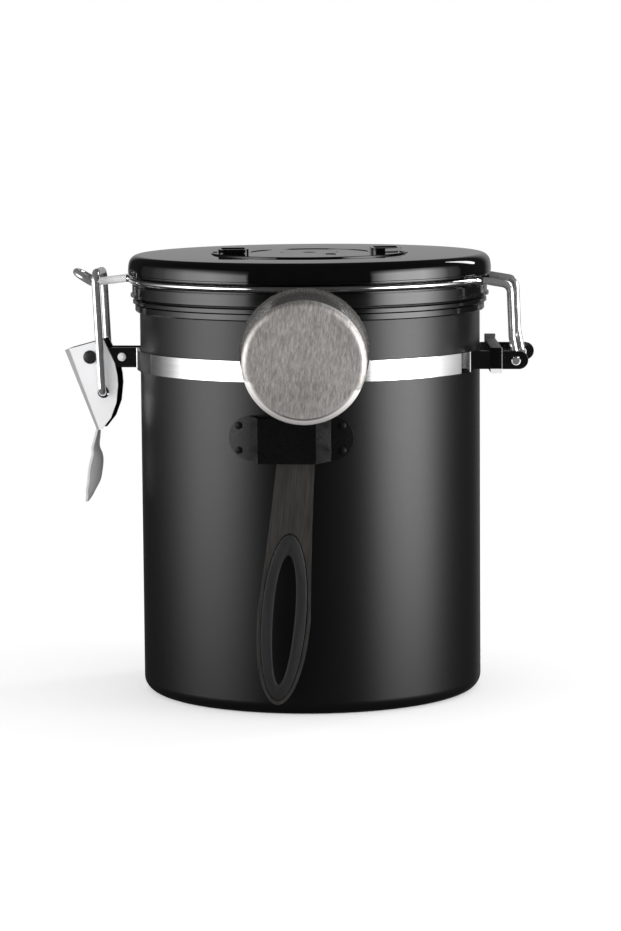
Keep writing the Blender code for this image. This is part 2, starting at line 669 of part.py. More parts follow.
def half_bail_path():
    """The front half of the bail wire, from its hinge pin round the lid to the tip of the catch loop."""
    leg_y = -(HINGE_ARM_HALF_SPACING - HINGE_LEG_SETBACK)
    pin_y = -(HINGE_ARM_FACE + HINGE_PIN_PROUD)
    exit_reach = BAIL_RING_RADIUS + RING_EXIT_BEND
    exit_y = leg_y - RING_EXIT_BEND
    exit_x = math.sqrt(exit_reach**2 - exit_y**2)
    leg = [
        (Vector((HINGE_X, pin_y, HINGE_POINT.z)), 0),
        (Vector((HINGE_X, leg_y, HINGE_POINT.z)), HINGE_PIN_BEND),
        (Vector((LEG_KNEE_X, leg_y, HINGE_POINT.z + LEG_KNEE_HEIGHT)), LEG_KNEE_BEND),
        (Vector((LEG_TOP_X, leg_y, RING_Z - LEG_TOP_DROP)), LEG_TOP_BEND),
        (Vector((exit_x, leg_y, RING_Z)), 0),
    ]
    points = bent(leg)
    ring_start = math.atan2(exit_y, exit_x)
    turn_in = arc((exit_x, exit_y), RING_EXIT_BEND, 90, 180 + math.degrees(ring_start))
    points += [Vector((x, y, RING_Z)) for x, y in turn_in[1:]]
    catch_y = -(CATCH_HALF_SPACING + CATCH_EXIT_BEND)
    catch_x = -math.sqrt((BAIL_RING_RADIUS + CATCH_EXIT_BEND) ** 2 - catch_y**2)
    ring_end = math.atan2(catch_y, catch_x)
    ring = band_arc(BAIL_RING_RADIUS, ring_start, ring_end, ROUND_STEPS // 2 - 4)
    points += [Vector((x, y, RING_Z)) for x, y in ring[1:]]
    turn_out = arc((catch_x, catch_y), CATCH_EXIT_BEND, 180 + math.degrees(ring_end), 90)
    points += [Vector((x, y, RING_Z)) for x, y in turn_out[1:]]
    knee = Vector((CATCH_KNEE_X, -CATCH_HALF_SPACING, RING_Z - CATCH_DROP))
    rise = Vector((-math.cos(CATCH_RISE), 0, math.sin(CATCH_RISE)))
    loop_centre = knee + rise * (CATCH_NOSE_LENGTH - CATCH_HALF_SPACING)
    catch = bent([(points[-1], 0), (knee, CATCH_KNEE_BEND), (loop_centre, 0)])
    points += catch[1:]
    middle = loop_centre + Vector((0, CATCH_HALF_SPACING, 0))
    across = Vector((0, CATCH_HALF_SPACING, 0))
    for i in range(1, CORNER_STEPS + 1):
        angle = math.pi / 2 * i / CORNER_STEPS
        points.append(middle + rise * CATCH_HALF_SPACING * math.sin(angle) - across * math.cos(angle))
    return points


def bail_ring(surface):
    half = half_bail_path()
    mirrored = [Vector((p.x, -p.y, p.z)) for p in half[-2::-1]]
    return wire("bail_ring", half + mirrored, BAIL_WIRE_RADIUS, surface)


def shell_face():
    """The shell's outer profile from its rounded rim, down the tall bowed face to the lip over the wire."""
    top = math.degrees(SHELL_FACE_TOP)
    bottom = math.degrees(SHELL_FACE_BOTTOM)
    corner_z = SHELL_TOP_Z - SHELL_CORNER_RADIUS
    face_z = corner_z + (SHELL_CORNER_RADIUS - SHELL_FACE_RADIUS) * math.sin(SHELL_FACE_TOP)
    face_r = LID_RADIUS - SHELL_FACE_RADIUS
    corner_r = face_r + (SHELL_FACE_RADIUS - SHELL_CORNER_RADIUS) * math.cos(SHELL_FACE_TOP)
    rim = arc((corner_r, corner_z), SHELL_CORNER_RADIUS, 90, top, 5)
    face = arc((face_r, face_z), SHELL_FACE_RADIUS, top, bottom, 3)[1:]
    lip_r = LID_RADIUS - SHELL_LIP_INSET
    lip = [
        (lip_r - SHELL_LIP_INSET, SHELL_BOTTOM_Z + SHELL_LIP_HEIGHT - SHELL_LIP_INSET / 2),
        (lip_r, SHELL_BOTTOM_Z + SHELL_LIP_HEIGHT / 3),
        (lip_r - SHELL_LIP_INSET / 2, SHELL_BOTTOM_Z),
    ]
    return rim + face + lip


def lid_top_shell(surface):
    inner_r = NECK_RADIUS + SEAT_GAP
    ceiling = SHELL_TOP_Z - SHELL_WALL
    recess_r = DIAL_RADIUS + RUNNING_GAP
    bore_r = CAP_STEM_RADIUS + SEAT_GAP
    outline = [
        (bore_r, RECESS_UNDERSIDE_Z),
        (bore_r, RECESS_Z),
        (recess_r, RECESS_Z),
        (recess_r, SHELL_TOP_Z),
    ]
    outline += shell_face()
    outline += [
        (inner_r, SHELL_BOTTOM_Z),
        (inner_r, ceiling - SHELL_CORNER_RADIUS / 2),
        (inner_r - SHELL_CORNER_RADIUS / 2, ceiling),
        (recess_r + 2 * SHELL_WALL, ceiling),
        (recess_r + SHELL_WALL, RECESS_UNDERSIDE_Z),
    ]
    return turned("lid_top_shell", outline, surface)


def lid_skirt_ring(surface):
    """The lower lid ring: a neck inside the shell, a ledge under the wire and a skirt round the cup's lip."""
    skirt_bottom = WEB_TOP_Z - SKIRT_DEPTH
    outline = [
        (PLUG_RADIUS + SEAT_GAP, WEB_BOTTOM_Z),
        (SKIRT_INNER_RADIUS, WEB_BOTTOM_Z),
        (SKIRT_INNER_RADIUS, skirt_bottom),
        (SKIRT_RADIUS, skirt_bottom),
        (SKIRT_RADIUS, WEB_TOP_Z),
        (NECK_RADIUS, WEB_TOP_Z),
        (NECK_RADIUS, WEB_TOP_Z + NECK_HEIGHT),
        (NECK_RADIUS - NECK_WALL, WEB_TOP_Z + NECK_HEIGHT),
        (NECK_RADIUS - NECK_WALL, WEB_TOP_Z),
        (PLUG_RADIUS + SEAT_GAP, WEB_TOP_Z),
    ]
    ring = turned("lid_skirt_ring", outline, surface)
    for name, middle in (("hinge_window", 0), ("latch_window", 180)):
        half = math.degrees(WINDOW_HALF_ANGLE)
        outside = arc((0, 0), SKIRT_RADIUS + CUT_OVERRUN, middle - half, middle + half, 2 * CORNER_STEPS)
        inside = arc((0, 0), SKIRT_RADIUS - WINDOW_DEPTH, middle + half, middle - half, 2 * CORNER_STEPS)
        window = extruded(name, outside + inside, WEB_TOP_Z - WINDOW_HEIGHT, WEB_TOP_Z + CUT_OVERRUN, "Z")
        boolean(ring, window, "DIFFERENCE")
    return ring


def lid_gasket(surface):
    edge = GASKET_THICKNESS / 4
    outer = GASKET_RADIUS
    outline = [
        (GASKET_INNER_RADIUS, GASKET_BOTTOM_Z + edge),
        (GASKET_INNER_RADIUS + edge, GASKET_BOTTOM_Z),
        (outer - edge, GASKET_BOTTOM_Z),
        (outer, GASKET_BOTTOM_Z + edge),
        (outer, GASKET_TOP_Z),
        (GASKET_INNER_RADIUS, GASKET_TOP_Z),
    ]
    return turned("lid_gasket", outline, surface)


def lid_inner_plate(surface):
    """The shallow steel dish that closes the lid from below, flanged over the skirt ring's web."""
    flange_bottom = WEB_TOP_Z + SEAT_GAP
    flange_top = flange_bottom + PLUG_WALL
    corner_r = PLUG_RADIUS - PLUG_CORNER_RADIUS
    corner_z = PLUG_BOTTOM_Z + PLUG_CORNER_RADIUS
    inner_corner = PLUG_CORNER_RADIUS - PLUG_WALL
    outline = [(VALVE_PORT_RADIUS, PLUG_BOTTOM_Z)]
    outline += arc((corner_r, corner_z), PLUG_CORNER_RADIUS, -90, 0, 3)
    outline += [
        (PLUG_RADIUS, flange_bottom),
        (PLUG_RADIUS + PLUG_FLANGE, flange_bottom),
        (PLUG_RADIUS + PLUG_FLANGE, flange_top),
        (PLUG_RADIUS - PLUG_WALL, flange_top),
    ]
    outline += arc((corner_r, corner_z), inner_corner, 0, -90, 3)
    outline.append((VALVE_PORT_RADIUS, PLUG_BOTTOM_Z + PLUG_WALL))
    return turned("lid_inner_plate", outline, surface)


def valve_housing(surface):
    bottom = PLUG_BOTTOM_Z + PLUG_WALL + SEAT_GAP
    top = RECESS_UNDERSIDE_Z - SEAT_GAP
    outline = [
        (VALVE_SEAT_RADIUS, bottom),
        (VALVE_RADIUS, bottom),
        (VALVE_RADIUS, top),
        (VALVE_RADIUS - VALVE_WALL, top),
        (VALVE_RADIUS - VALVE_WALL, bottom + VALVE_WALL),
        (VALVE_SEAT_RADIUS, bottom + VALVE_WALL),
    ]
    return turned("valve_housing", outline, surface, ROUND_STEPS // 2)


def valve_diaphragm(surface):
    bottom = PLUG_BOTTOM_Z + PLUG_WALL + SEAT_GAP + VALVE_WALL + SEAT_GAP
    radius = VALVE_RADIUS - VALVE_WALL - SEAT_GAP
    outline = [
        (0, bottom),
        (radius, bottom),
        (radius, bottom + DIAPHRAGM_THICKNESS),
        (radius / 2, bottom + DIAPHRAGM_THICKNESS),
        (0, bottom + DIAPHRAGM_THICKNESS + DIAPHRAGM_CROWN),
    ]
    return turned("valve_diaphragm", outline, surface, ROUND_STEPS // 2)


def valve_cap(surface):
    """The fixed cap in the dial's middle: its stem runs down into the valve and its flange keeps the dial."""
    bottom = RECESS_UNDERSIDE_Z - CAP_STEM_REACH
    outline = [
        (CAP_VENT_RADIUS, bottom),
        (CAP_STEM_RADIUS, bottom),
        (CAP_STEM_RADIUS, CAP_FLANGE_Z),
        (CAP_FLANGE_RADIUS, CAP_FLANGE_Z),
        (CAP_FLANGE_RADIUS, CAP_TOP_Z),
        (CAP_VENT_RADIUS, CAP_TOP_Z),
    ]
    return turned("valve_cap", outline, surface, ROUND_STEPS // 2)


def finger_tab_block(name, angle):
    """A round-cornered block that stands on the dial, just inside its edge."""
    x_high = DIAL_RADIUS - TAB_SETBACK
    x_low = x_high - TAB_LENGTH
    half = TAB_WIDTH / 2
    corner = TAB_CORNER_RADIUS
    outline = arc((x_high - corner, half - corner), corner, 0, 90)
    outline += arc((x_low + corner, half - corner), corner, 90, 180)
    outline += arc((x_low + corner, corner - half), corner, 180, 270)
    outline += arc((x_high - corner, corner - half), corner, 270, 360)
    turn = Matrix.Rotation(angle, 2)
    placed = [tuple(turn @ Vector(point)) for point in outline]
    return extruded(name, placed, SHELL_TOP_Z, DIAL_TOP_Z + TAB_PROUD, "Z")


def date_dial(surface):
    """The turning disc: a ring for the numbers round a shallow centre, with a dished tab at each end."""
    inner = CAP_STEM_RADIUS + RUNNING_GAP
    counterbore = CAP_FLANGE_RADIUS + RUNNING_GAP
    seat = CAP_FLANGE_Z - RUNNING_GAP
    centre_z = DIAL_TOP_Z - DIAL_CENTRE_DEPTH
    outline = [
        (inner, DIAL_BOTTOM_Z),
        (DIAL_RADIUS, DIAL_BOTTOM_Z),
        (DIAL_RADIUS, DIAL_TOP_Z - DIAL_EDGE),
        (DIAL_RADIUS - DIAL_EDGE, DIAL_TOP_Z),
        (DIAL_CENTRE_RADIUS, DIAL_TOP_Z),
        (DIAL_CENTRE_RADIUS, centre_z),
        (counterbore, centre_z),
        (counterbore, seat),
        (inner, seat),
    ]
    dial = turned("date_dial", outline, surface)
    for name, turn in (("right_tab", 0), ("left_tab", math.pi)):
        boolean(dial, finger_tab_block(name, DIAL_TURN + turn), "UNION")
        dish_middle = DIAL_RADIUS - TAB_SETBACK - TAB_LENGTH / 2
        half_x = TAB_LENGTH / 2 - TAB_DISH_RIM
        half_y = TAB_WIDTH / 2 - TAB_DISH_RIM
        square = [(-half_x, -half_y), (half_x, -half_y), (half_x, half_y), (-half_x, half_y)]
        spin = Matrix.Rotation(DIAL_TURN + turn, 2)
        placed = [tuple(spin @ Vector((dish_middle + x, y))) for x, y in square]
        floor = DIAL_TOP_Z + TAB_PROUD - TAB_DISH_DEPTH
        dish = extruded(name + "_dish", placed, floor, floor + CUT_OVERRUN, "Z")
        boolean(dial, dish, "DIFFERENCE")
    return dial


def cheek_outline():
    """The side of the lever about its pivot: a straight back, a short top and a round belly."""
    right = []
    for down, out in LEVER_CHEEK_SHARES:
        right.append((LEVER_BELLY * out, LEVER_HORN_RISE - (LEVER_HORN_RISE + LEVER_DEPTH) * down))
    back = [(LEVER_TOE_RIGHT, -LEVER_DEPTH), (LEVER_TOE_LEFT, -LEVER_DEPTH), (-LEVER_TOP_REACH, LEVER_TOP_RISE)]
    return right + back


def finger_tab_mesh(name):
    """The dished, leaf-shaped thumb tab, drawn about the lever's pivot."""
    bm = bmesh.new()
    layers = []
    for shift in (0, LEVER_SHEET):
        rows = []
        for i in range(FINGER_STEPS + 1):
            t = i / FINGER_STEPS
            x = FINGER_X - FINGER_SWEEP * blended(FINGER_SWEEP_SHARES, t) + shift
            z = -LEVER_DEPTH + FINGER_OVERLAP - FINGER_LENGTH * t
            half = FINGER_HALF_WIDTH * blended(FINGER_WIDTH_SHARES, t)
            dish = FINGER_DISH * blended(FINGER_DISH_SHARES, t)
            row = []
            for j in range(FINGER_ACROSS_STEPS + 1):
                u = 2 * j / FINGER_ACROSS_STEPS - 1
                row.append(bm.verts.new((x - dish * u * u, half * u, z)))
            rows.append(row)
        layers.append(rows)
    low, high = layers
    for i in range(FINGER_STEPS):
        for j in range(FINGER_ACROSS_STEPS):
            for rows in layers:
                bm.faces.new((rows[i][j], rows[i][j + 1], rows[i + 1][j + 1], rows[i + 1][j]))
        for j in (0, FINGER_ACROSS_STEPS):
            bm.faces.new((low[i][j], low[i + 1][j], high[i + 1][j], high[i][j]))
    for i in (0, FINGER_STEPS):
        for j in range(FINGER_ACROSS_STEPS):
            bm.faces.new((low[i][j], low[i][j + 1], high[i][j + 1], high[i][j]))
    return mesh_object(name, bm)


def latch_lever(surface):
    """The folded lever: two cheeks joined by a back web, with the thumb tab below and holes for pivot and link."""
    lever = extruded("latch_lever", cheek_outline(), -LEVER_OUTER_HALF, LEVER_OUTER_HALF, "Y", surface)
    lever.location = PIVOT_POINT
    top = Vector((-LEVER_TOP_REACH, LEVER_TOP_RISE))
    toe = Vector((LEVER_TOE_LEFT, -LEVER_DEPTH))
    along = (toe - top).normalized()
    inward = Vector((-along.y, along.x))
    start = top + inward * LEVER_SHEET - along * LEVER_DEPTH
    end = toe + inward * LEVER_SHEET + along * LEVER_DEPTH
    across = inward * 2 * LEVER_DEPTH
    trough = [tuple(start), tuple(end), tuple(end + across), tuple(start + across)]
    inside = extruded("lever_trough", trough, -LEVER_INNER_HALF, LEVER_INNER_HALF, "Y")
    boolean(lever, inside, "DIFFERENCE")
    boolean(lever, finger_tab_mesh("lever_thumb_tab"), "UNION")
    drill(lever, "lever_pivot_hole", Vector((0, 0, 0)), PIVOT_RADIUS + RUNNING_GAP, 2 * LEVER_OUTER_HALF)
    link_hole = Vector((LINK_PIVOT_DX, 0, -LINK_PIVOT_DROP))
    drill(lever, "lever_link_hole", link_hole, LINK_HOLE_RADIUS, 2 * LEVER_OUTER_HALF)
    return lever


def latch_link(surface):
    """The wire link, drawn about its pivot in the lever, with both ends turned in through the cheeks."""
    top = Vector((-LINK_LEAN, 0, LINK_LENGTH))
    near = Vector((0, -LINK_HALF_SPACING, 0))
    far = -near
    corners = [
        (Vector((0, -LINK_PIN_END, 0)), 0),
        (near, LINK_PIN_BEND),
        (top + near, LINK_TOP_BEND),
        (top + far, LINK_TOP_BEND),
        (far, LINK_PIN_BEND),
        (Vector((0, LINK_PIN_END, 0)), 0),
    ]
    link = wire("latch_link", bent(corners), LINK_WIRE_RADIUS, surface)
    link.location = LINK_POINT
    return link


def scoop_bracket(surface):
    """A folded hat section: round ears against the cup and a pocket in front that the scoop's handle drops in."""
    middle_r = BODY_RADIUS + SEAT_GAP + BRACKET_SHEET / 2
    ear_angle = math.asin(BRACKET_WIDTH / 2 / middle_r)
    base_angle = math.asin(BRACKET_BASE_HALF / middle_r)
    front_y = -(BODY_RADIUS + BRACKET_STAND_OFF - BRACKET_SHEET / 2)
    front_x = BRACKET_FRONT_HALF - BRACKET_SHEET / 2
    left_ear = band_arc(middle_r, -math.pi / 2 - ear_angle, -math.pi / 2 - base_angle, CORNER_STEPS)
    right_ear = band_arc(middle_r, -math.pi / 2 + base_angle, -math.pi / 2 + ear_angle, CORNER_STEPS)
    path = left_ear + [(-front_x, front_y), (front_x, front_y)] + right_ear
    outline = strip_outline(path, BRACKET_SHEET)
    low = BRACKET_MIDDLE_Z - BRACKET_HEIGHT / 2
    high = BRACKET_TOP_Z
    bracket = extruded("scoop_bracket", outline, low, high, "Z", surface)
    ends = stadium(-BRACKET_WIDTH / 2, BRACKET_WIDTH / 2, low, high)
    near = -(BODY_RADIUS + BRACKET_STAND_OFF + CUT_OVERRUN)
    boolean(bracket, extruded("bracket_ends", ends, near, 0, "Y"), "INTERSECT")
    hole_r = BRACKET_RIVET_RADIUS + SEAT_GAP
    hole_outline = [(0, 0), (hole_r, 0), (hole_r, CUT_OVERRUN), (0, CUT_OVERRUN)]
    for number, place in enumerate(bracket_rivet_places()):
        hole = turned(f"bracket_hole_{number}", hole_outline, None, SMALL_STEPS)
        hole.matrix_world = place @ Matrix.Translation((0, 0, -CUT_OVERRUN / 2))
        boolean(bracket, hole, "DIFFERENCE")
    return bracket


def bracket_rivet_places():
    """Frames on the ears' outer face, with Z pointing out of the cup."""
    surface_r = BODY_RADIUS + SEAT_GAP + BRACKET_SHEET
    rivet_angle = math.asin(BRACKET_RIVET_X / surface_r)
    places = []
    for side in (-1, 1):
        for level in (-1, 1):
            angle = side * rivet_angle
            point = Vector((math.sin(angle), -math.cos(angle), 0)) * surface_r
            point.z = BRACKET_MIDDLE_Z + level * BRACKET_RIVET_SPACING / 2
            turn = Matrix.Rotation(angle, 4, "Z") @ Matrix.Rotation(math.pi / 2, 4, "X")
            places.append(Matrix.Translation(point) @ turn)
    return places


def bracket_rivet(name, place, surface):
    head = BRACKET_RIVET_HEAD_RADIUS
    height = BRACKET_RIVET_HEAD_HEIGHT
    shank_end = -BRACKET_SHEET
    outline = [
        (0, shank_end),
        (BRACKET_RIVET_RADIUS, shank_end),
        (BRACKET_RIVET_RADIUS, SEAT_GAP),
        (head, SEAT_GAP),
        (head, SEAT_GAP + height / 3),
        (head / 2, SEAT_GAP + height),
        (0, SEAT_GAP + height),
    ]
    rivet = turned(name, outline, surface, SMALL_STEPS // 2)
    rivet.matrix_world = place
    return rivet


def scoop_bowl(surface):
    """The bowl: its open mouth lies against the canister and its closed floor faces the front."""
    floor_r = BOWL_FLOOR_RADIUS - BOWL_CORNER_RADIUS
    floor_z = BOWL_DEPTH - BOWL_CORNER_RADIUS
    inner_corner = BOWL_CORNER_RADIUS - BOWL_SHEET
    lip = BOWL_LIP_THICKNESS
    outline = [(0, BOWL_DEPTH)]
    outline += arc((floor_r, floor_z), BOWL_CORNER_RADIUS, 90, 0)
    outline += [
        (BOWL_WALL_RADIUS, lip),
        (BOWL_MOUTH_RADIUS, lip),
        (BOWL_MOUTH_RADIUS, 0),
        (BOWL_WALL_RADIUS - BOWL_SHEET, 0),
    ]
    outline += arc((floor_r, floor_z), inner_corner, 0, 90)
    outline.append((0, BOWL_DEPTH - BOWL_SHEET))
    bowl = turned("scoop_bowl", outline, surface, BOWL_STEPS)
    bowl.rotation_euler = (math.pi / 2 + BOWL_DROOP, 0, 0)
    drop = BOWL_MOUTH_RADIUS * (1 - math.cos(BOWL_DROOP))
    bowl.location = (0, -BOWL_MOUTH_RADIUS * math.sin(BOWL_DROOP), -drop)
    return bowl


def handle_half_width(at):
    """Half the handle's width at a distance below the bowl's centre."""
    if at <= HANDLE_NECK_END:
        return HANDLE_NECK_HALF
    if at <= HANDLE_WIDEST_AT:
        t = (at - HANDLE_NECK_END) / (HANDLE_WIDEST_AT - HANDLE_NECK_END)
        return HANDLE_NECK_HALF + (HANDLE_HALF_WIDTH - HANDLE_NECK_HALF) * t**HANDLE_TAPER_POWER
    t = (at - HANDLE_WIDEST_AT) / (HANDLE_LENGTH - HANDLE_WIDEST_AT)
    return HANDLE_HALF_WIDTH * math.sqrt(max(1 - t * t, 0))


def scoop_handle(surface):
    """A flat steel handle that widens to a round end, with an opening that the grip fills."""
    top = BOWL_MOUTH_RADIUS - CUT_OVERRUN
    right = []
    for i in range(HANDLE_STEPS + 1):
        at = top + (HANDLE_WIDEST_AT - top) * i / HANDLE_STEPS
        right.append((handle_half_width(at), -at))
    for i in range(1, EGG_STEPS):
        angle = math.pi / 2 * i / EGG_STEPS
        at = HANDLE_WIDEST_AT + (HANDLE_LENGTH - HANDLE_WIDEST_AT) * math.sin(angle)
        right.append((handle_half_width(at), -at))
    left = [(-x, z) for x, z in right[::-1]]
    outline = right + [(0, -HANDLE_LENGTH)] + left
    handle = extruded("scoop_handle", outline, -HANDLE_THICKNESS, 0, "Y", surface)
    opening = egg(HANDLE_HALF_WIDTH - GRIP_RIM, GRIP_TOP_AT, HANDLE_WIDEST_AT, GRIP_BOTTOM_AT)
    cutter = extruded("handle_opening", opening, -HANDLE_THICKNESS - CUT_OVERRUN, CUT_OVERRUN, "Y")
    boolean(handle, cutter, "DIFFERENCE")
    saddle = arc((0, 0), BOWL_MOUTH_RADIUS + SEAT_GAP, 0, 360, BOWL_STEPS)[:-1]
    saddle_cutter = extruded("bowl_saddle", saddle, -HANDLE_THICKNESS - CUT_OVERRUN, CUT_OVERRUN, "Y")
    boolean(handle, saddle_cutter, "DIFFERENCE")
    return handle


def scoop_grip(surface):
    """A soft oval ring in the handle's opening, a little thicker than the steel, round a finger slot."""
    outer = egg(
        HANDLE_HALF_WIDTH - GRIP_RIM - SEAT_GAP,
        GRIP_TOP_AT + SEAT_GAP,
        HANDLE_WIDEST_AT,
        GRIP_BOTTOM_AT - SEAT_GAP,
    )
    slot = egg(SLOT_HALF_WIDTH, SLOT_TOP_AT, SLOT_WIDEST_AT, SLOT_BOTTOM_AT)
    near = -HANDLE_THICKNESS / 2 - GRIP_THICKNESS / 2
    far = -HANDLE_THICKNESS / 2 + GRIP_THICKNESS / 2
    grip = extruded("scoop_grip", outer, near, far, "Y", surface)
    boolean(grip, extruded("finger_slot", slot, near - CUT_OVERRUN, far + CUT_OVERRUN, "Y"), "DIFFERENCE")
    return beveled(grip, GRIP_EDGE)


def build():
    clear_scene()
    black_body = material("satin_black_steel", (0.018, 0.018, 0.019), 0.42, 0.6)
    gloss_black = material("gloss_black_lid", (0.008, 0.008, 0.009), 0.12, 0.0)
    collar_black = material("black_collar", (0.02, 0.02, 0.021), 0.3, 0.0)
    dark_steel = material("blackened_steel", (0.02, 0.02, 0.022), 0.35, 0.8)
    band_steel = material("brushed_band_steel", (0.72, 0.72, 0.72), 0.3, 1.0)
    bright_wire = material("bright_wire", (0.8, 0.8, 0.8), 0.12, 1.0)
    bright_lever = material("bright_lever_steel", (0.85, 0.85, 0.85), 0.18, 1.0)
    scoop_steel = material("brushed_scoop_steel", (0.56, 0.53, 0.5), 0.36, 1.0)
    handle_steel = material("dark_brushed_steel", (0.2, 0.19, 0.18), 0.34, 1.0)
    inner_steel = material("inner_steel", (0.6, 0.6, 0.6), 0.3, 1.0)
    soft_black = material("black_silicone", (0.012, 0.012, 0.012), 0.6, 0.0)
    grey_silicone = material("grey_silicone", (0.35, 0.35, 0.35), 0.6, 0.0)
    valve_plastic = material("black_plastic", (0.03, 0.03, 0.03), 0.45, 0.0)

    steel_cup(black_body)
    neck_collar(collar_black)
    half_band("clamp_band_front", 1, band_steel)
    half_band("clamp_band_rear", -1, band_steel)
    hinge_keeper(dark_steel)
    head_at = LEVER_OUTER_HALF + PIVOT_HEAD_GAP
    double_headed_pin(
        "lever_pivot_pin", PIVOT_POINT, PIVOT_RADIUS, PIVOT_HEAD_RADIUS, PIVOT_HEAD_HEIGHT, head_at, dark_steel
    )
    rivet_half = LATCH_ARM_FACE + SEAT_GAP
    double_headed_pin(
        "clamp_rivet",
        CLAMP_RIVET_POINT,
        CLAMP_RIVET_RADIUS,
        CLAMP_RIVET_HEAD_RADIUS,
        CLAMP_RIVET_HEAD_HEIGHT,
        rivet_half,
        bright_lever,
    )
    scoop_bracket(dark_steel)
    for number, place in enumerate(bracket_rivet_places()):
        bracket_rivet(f"bracket_rivet_{number + 1}", place, dark_steel)

    hinge = joint_empty("lid_hinge_axis", HINGE_POINT)
    for piece in (
        bail_ring(bright_wire),
        lid_top_shell(gloss_black),
        lid_skirt_ring(collar_black),
        lid_gasket(grey_silicone),
        lid_inner_plate(inner_steel),
        valve_housing(valve_plastic),
        valve_diaphragm(soft_black),
        valve_cap(gloss_black),
        date_dial(gloss_black),
    ):
        carried_by(piece, hinge)

    latch_lever(bright_lever)
    latch_link(bright_wire)

    scoop = joint_empty("scoop_mouth", SCOOP_POINT)
    scoop.rotation_euler = (0, SCOOP_LEAN, SCOOP_YAW)
    for piece in (scoop_bowl(scoop_steel), scoop_handle(handle_steel), scoop_grip(soft_black)):
        piece.parent = scoop


build()
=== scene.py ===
"""The looks of a vacuum coffee canister: fine surfaces, materials, light and the photograph's view.

Every piece is drawn at its real size, in metres, and rides on the body that moves it.
"""

import json
from math import asin, atan2, cos, degrees, hypot, pi, radians, sin, sqrt, tan

import bmesh
import bpy
from mathutils import Matrix, Vector

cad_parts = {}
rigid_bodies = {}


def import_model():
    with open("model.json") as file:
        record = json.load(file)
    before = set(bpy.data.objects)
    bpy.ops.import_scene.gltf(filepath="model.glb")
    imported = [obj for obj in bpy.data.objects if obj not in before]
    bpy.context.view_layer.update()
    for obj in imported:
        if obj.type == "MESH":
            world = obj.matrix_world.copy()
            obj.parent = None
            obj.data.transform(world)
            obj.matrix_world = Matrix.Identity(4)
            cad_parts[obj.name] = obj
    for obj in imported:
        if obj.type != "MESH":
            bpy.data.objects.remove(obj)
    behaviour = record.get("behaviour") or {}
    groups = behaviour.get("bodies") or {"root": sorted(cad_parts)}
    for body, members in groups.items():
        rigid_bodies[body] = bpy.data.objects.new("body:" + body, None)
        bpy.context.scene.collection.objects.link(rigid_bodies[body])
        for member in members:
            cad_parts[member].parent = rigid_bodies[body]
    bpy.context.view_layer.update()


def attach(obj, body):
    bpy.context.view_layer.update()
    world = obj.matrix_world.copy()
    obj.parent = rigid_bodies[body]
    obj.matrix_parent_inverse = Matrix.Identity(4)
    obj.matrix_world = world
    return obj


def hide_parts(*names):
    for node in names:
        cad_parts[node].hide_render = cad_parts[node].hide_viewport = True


MM = 0.001

# Shared fits and facet counts
SEAT_GAP = 0.3 * MM
RUNNING_GAP = 0.3 * MM
CUT_OVERRUN = 3.0 * MM
ROUND_STEPS = 256
SMALL_STEPS = 64
CORNER_STEPS = 12
WIRE_RESOLUTION = 6
SMOOTH_ANGLE = radians(35)
BEVEL_ANGLE = radians(50)

# Steel cup
BODY_RADIUS = 60.0 * MM
BODY_HEIGHT = 140.6 * MM
BODY_WALL = 0.8 * MM
BASE_CORNER_RADIUS = 4.7 * MM
LIP_OVERHANG = 1.2 * MM
LIP_DEPTH = 1.2 * MM

# Collar under the cup's lip
COLLAR_HEIGHT = 4.4 * MM
COLLAR_BAND_WALL = 2.1 * MM
COLLAR_LIP_WALL = 1.3 * MM
COLLAR_GROOVE_WALL = 0.8 * MM
COLLAR_EDGE = 0.4 * MM
COLLAR_BAND_DEPTH = 1.4 * MM

# Lid
LID_OVERHANG = 4.0 * MM
GASKET_THICKNESS = 1.1 * MM
GASKET_WIDTH = 6.9 * MM
SKIRT_WALL = 1.2 * MM
SKIRT_CLEARANCE = 0.8 * MM
SKIRT_DEPTH = 3.8 * MM
WEB_THICKNESS = 1.5 * MM
NECK_OFFSET = 0.9 * MM
NECK_WALL = 1.6 * MM
NECK_HEIGHT = 4.9 * MM
WINDOW_DEPTH = 0.6 * MM
WINDOW_HEIGHT = 3.0 * MM
WINDOW_HALF_ANGLE = radians(26)
SHELL_HEIGHT = 7.05 * MM
SHELL_WALL = 2.0 * MM
SHELL_CORNER_RADIUS = 3.5 * MM
SHELL_FACE_RADIUS = 12.0 * MM
SHELL_FACE_TOP = radians(13)
SHELL_FACE_BOTTOM = radians(-5)
SHELL_LIP_HEIGHT = 0.8 * MM
SHELL_LIP_GROOVE = 0.35 * MM
SHELL_LIP_INSET = 0.3 * MM
PLUG_CLEARANCE = 6.2 * MM
PLUG_DEPTH = 2.4 * MM
PLUG_WALL = 1.2 * MM
PLUG_FLANGE = 5.6 * MM
PLUG_CORNER_RADIUS = 2.5 * MM

# Valve in the middle of the lid
VALVE_PORT_RADIUS = 4.5 * MM
VALVE_RADIUS = 9.0 * MM
VALVE_WALL = 1.6 * MM
VALVE_SEAT_RADIUS = 2.0 * MM
DIAPHRAGM_THICKNESS = 0.8 * MM
DIAPHRAGM_CROWN = 0.5 * MM
CAP_STEM_RADIUS = 6.2 * MM
CAP_FLANGE_RADIUS = 9.8 * MM
CAP_FLANGE_THICKNESS = 0.6 * MM
CAP_VENT_RADIUS = 2.4 * MM
CAP_STEM_REACH = 1.0 * MM

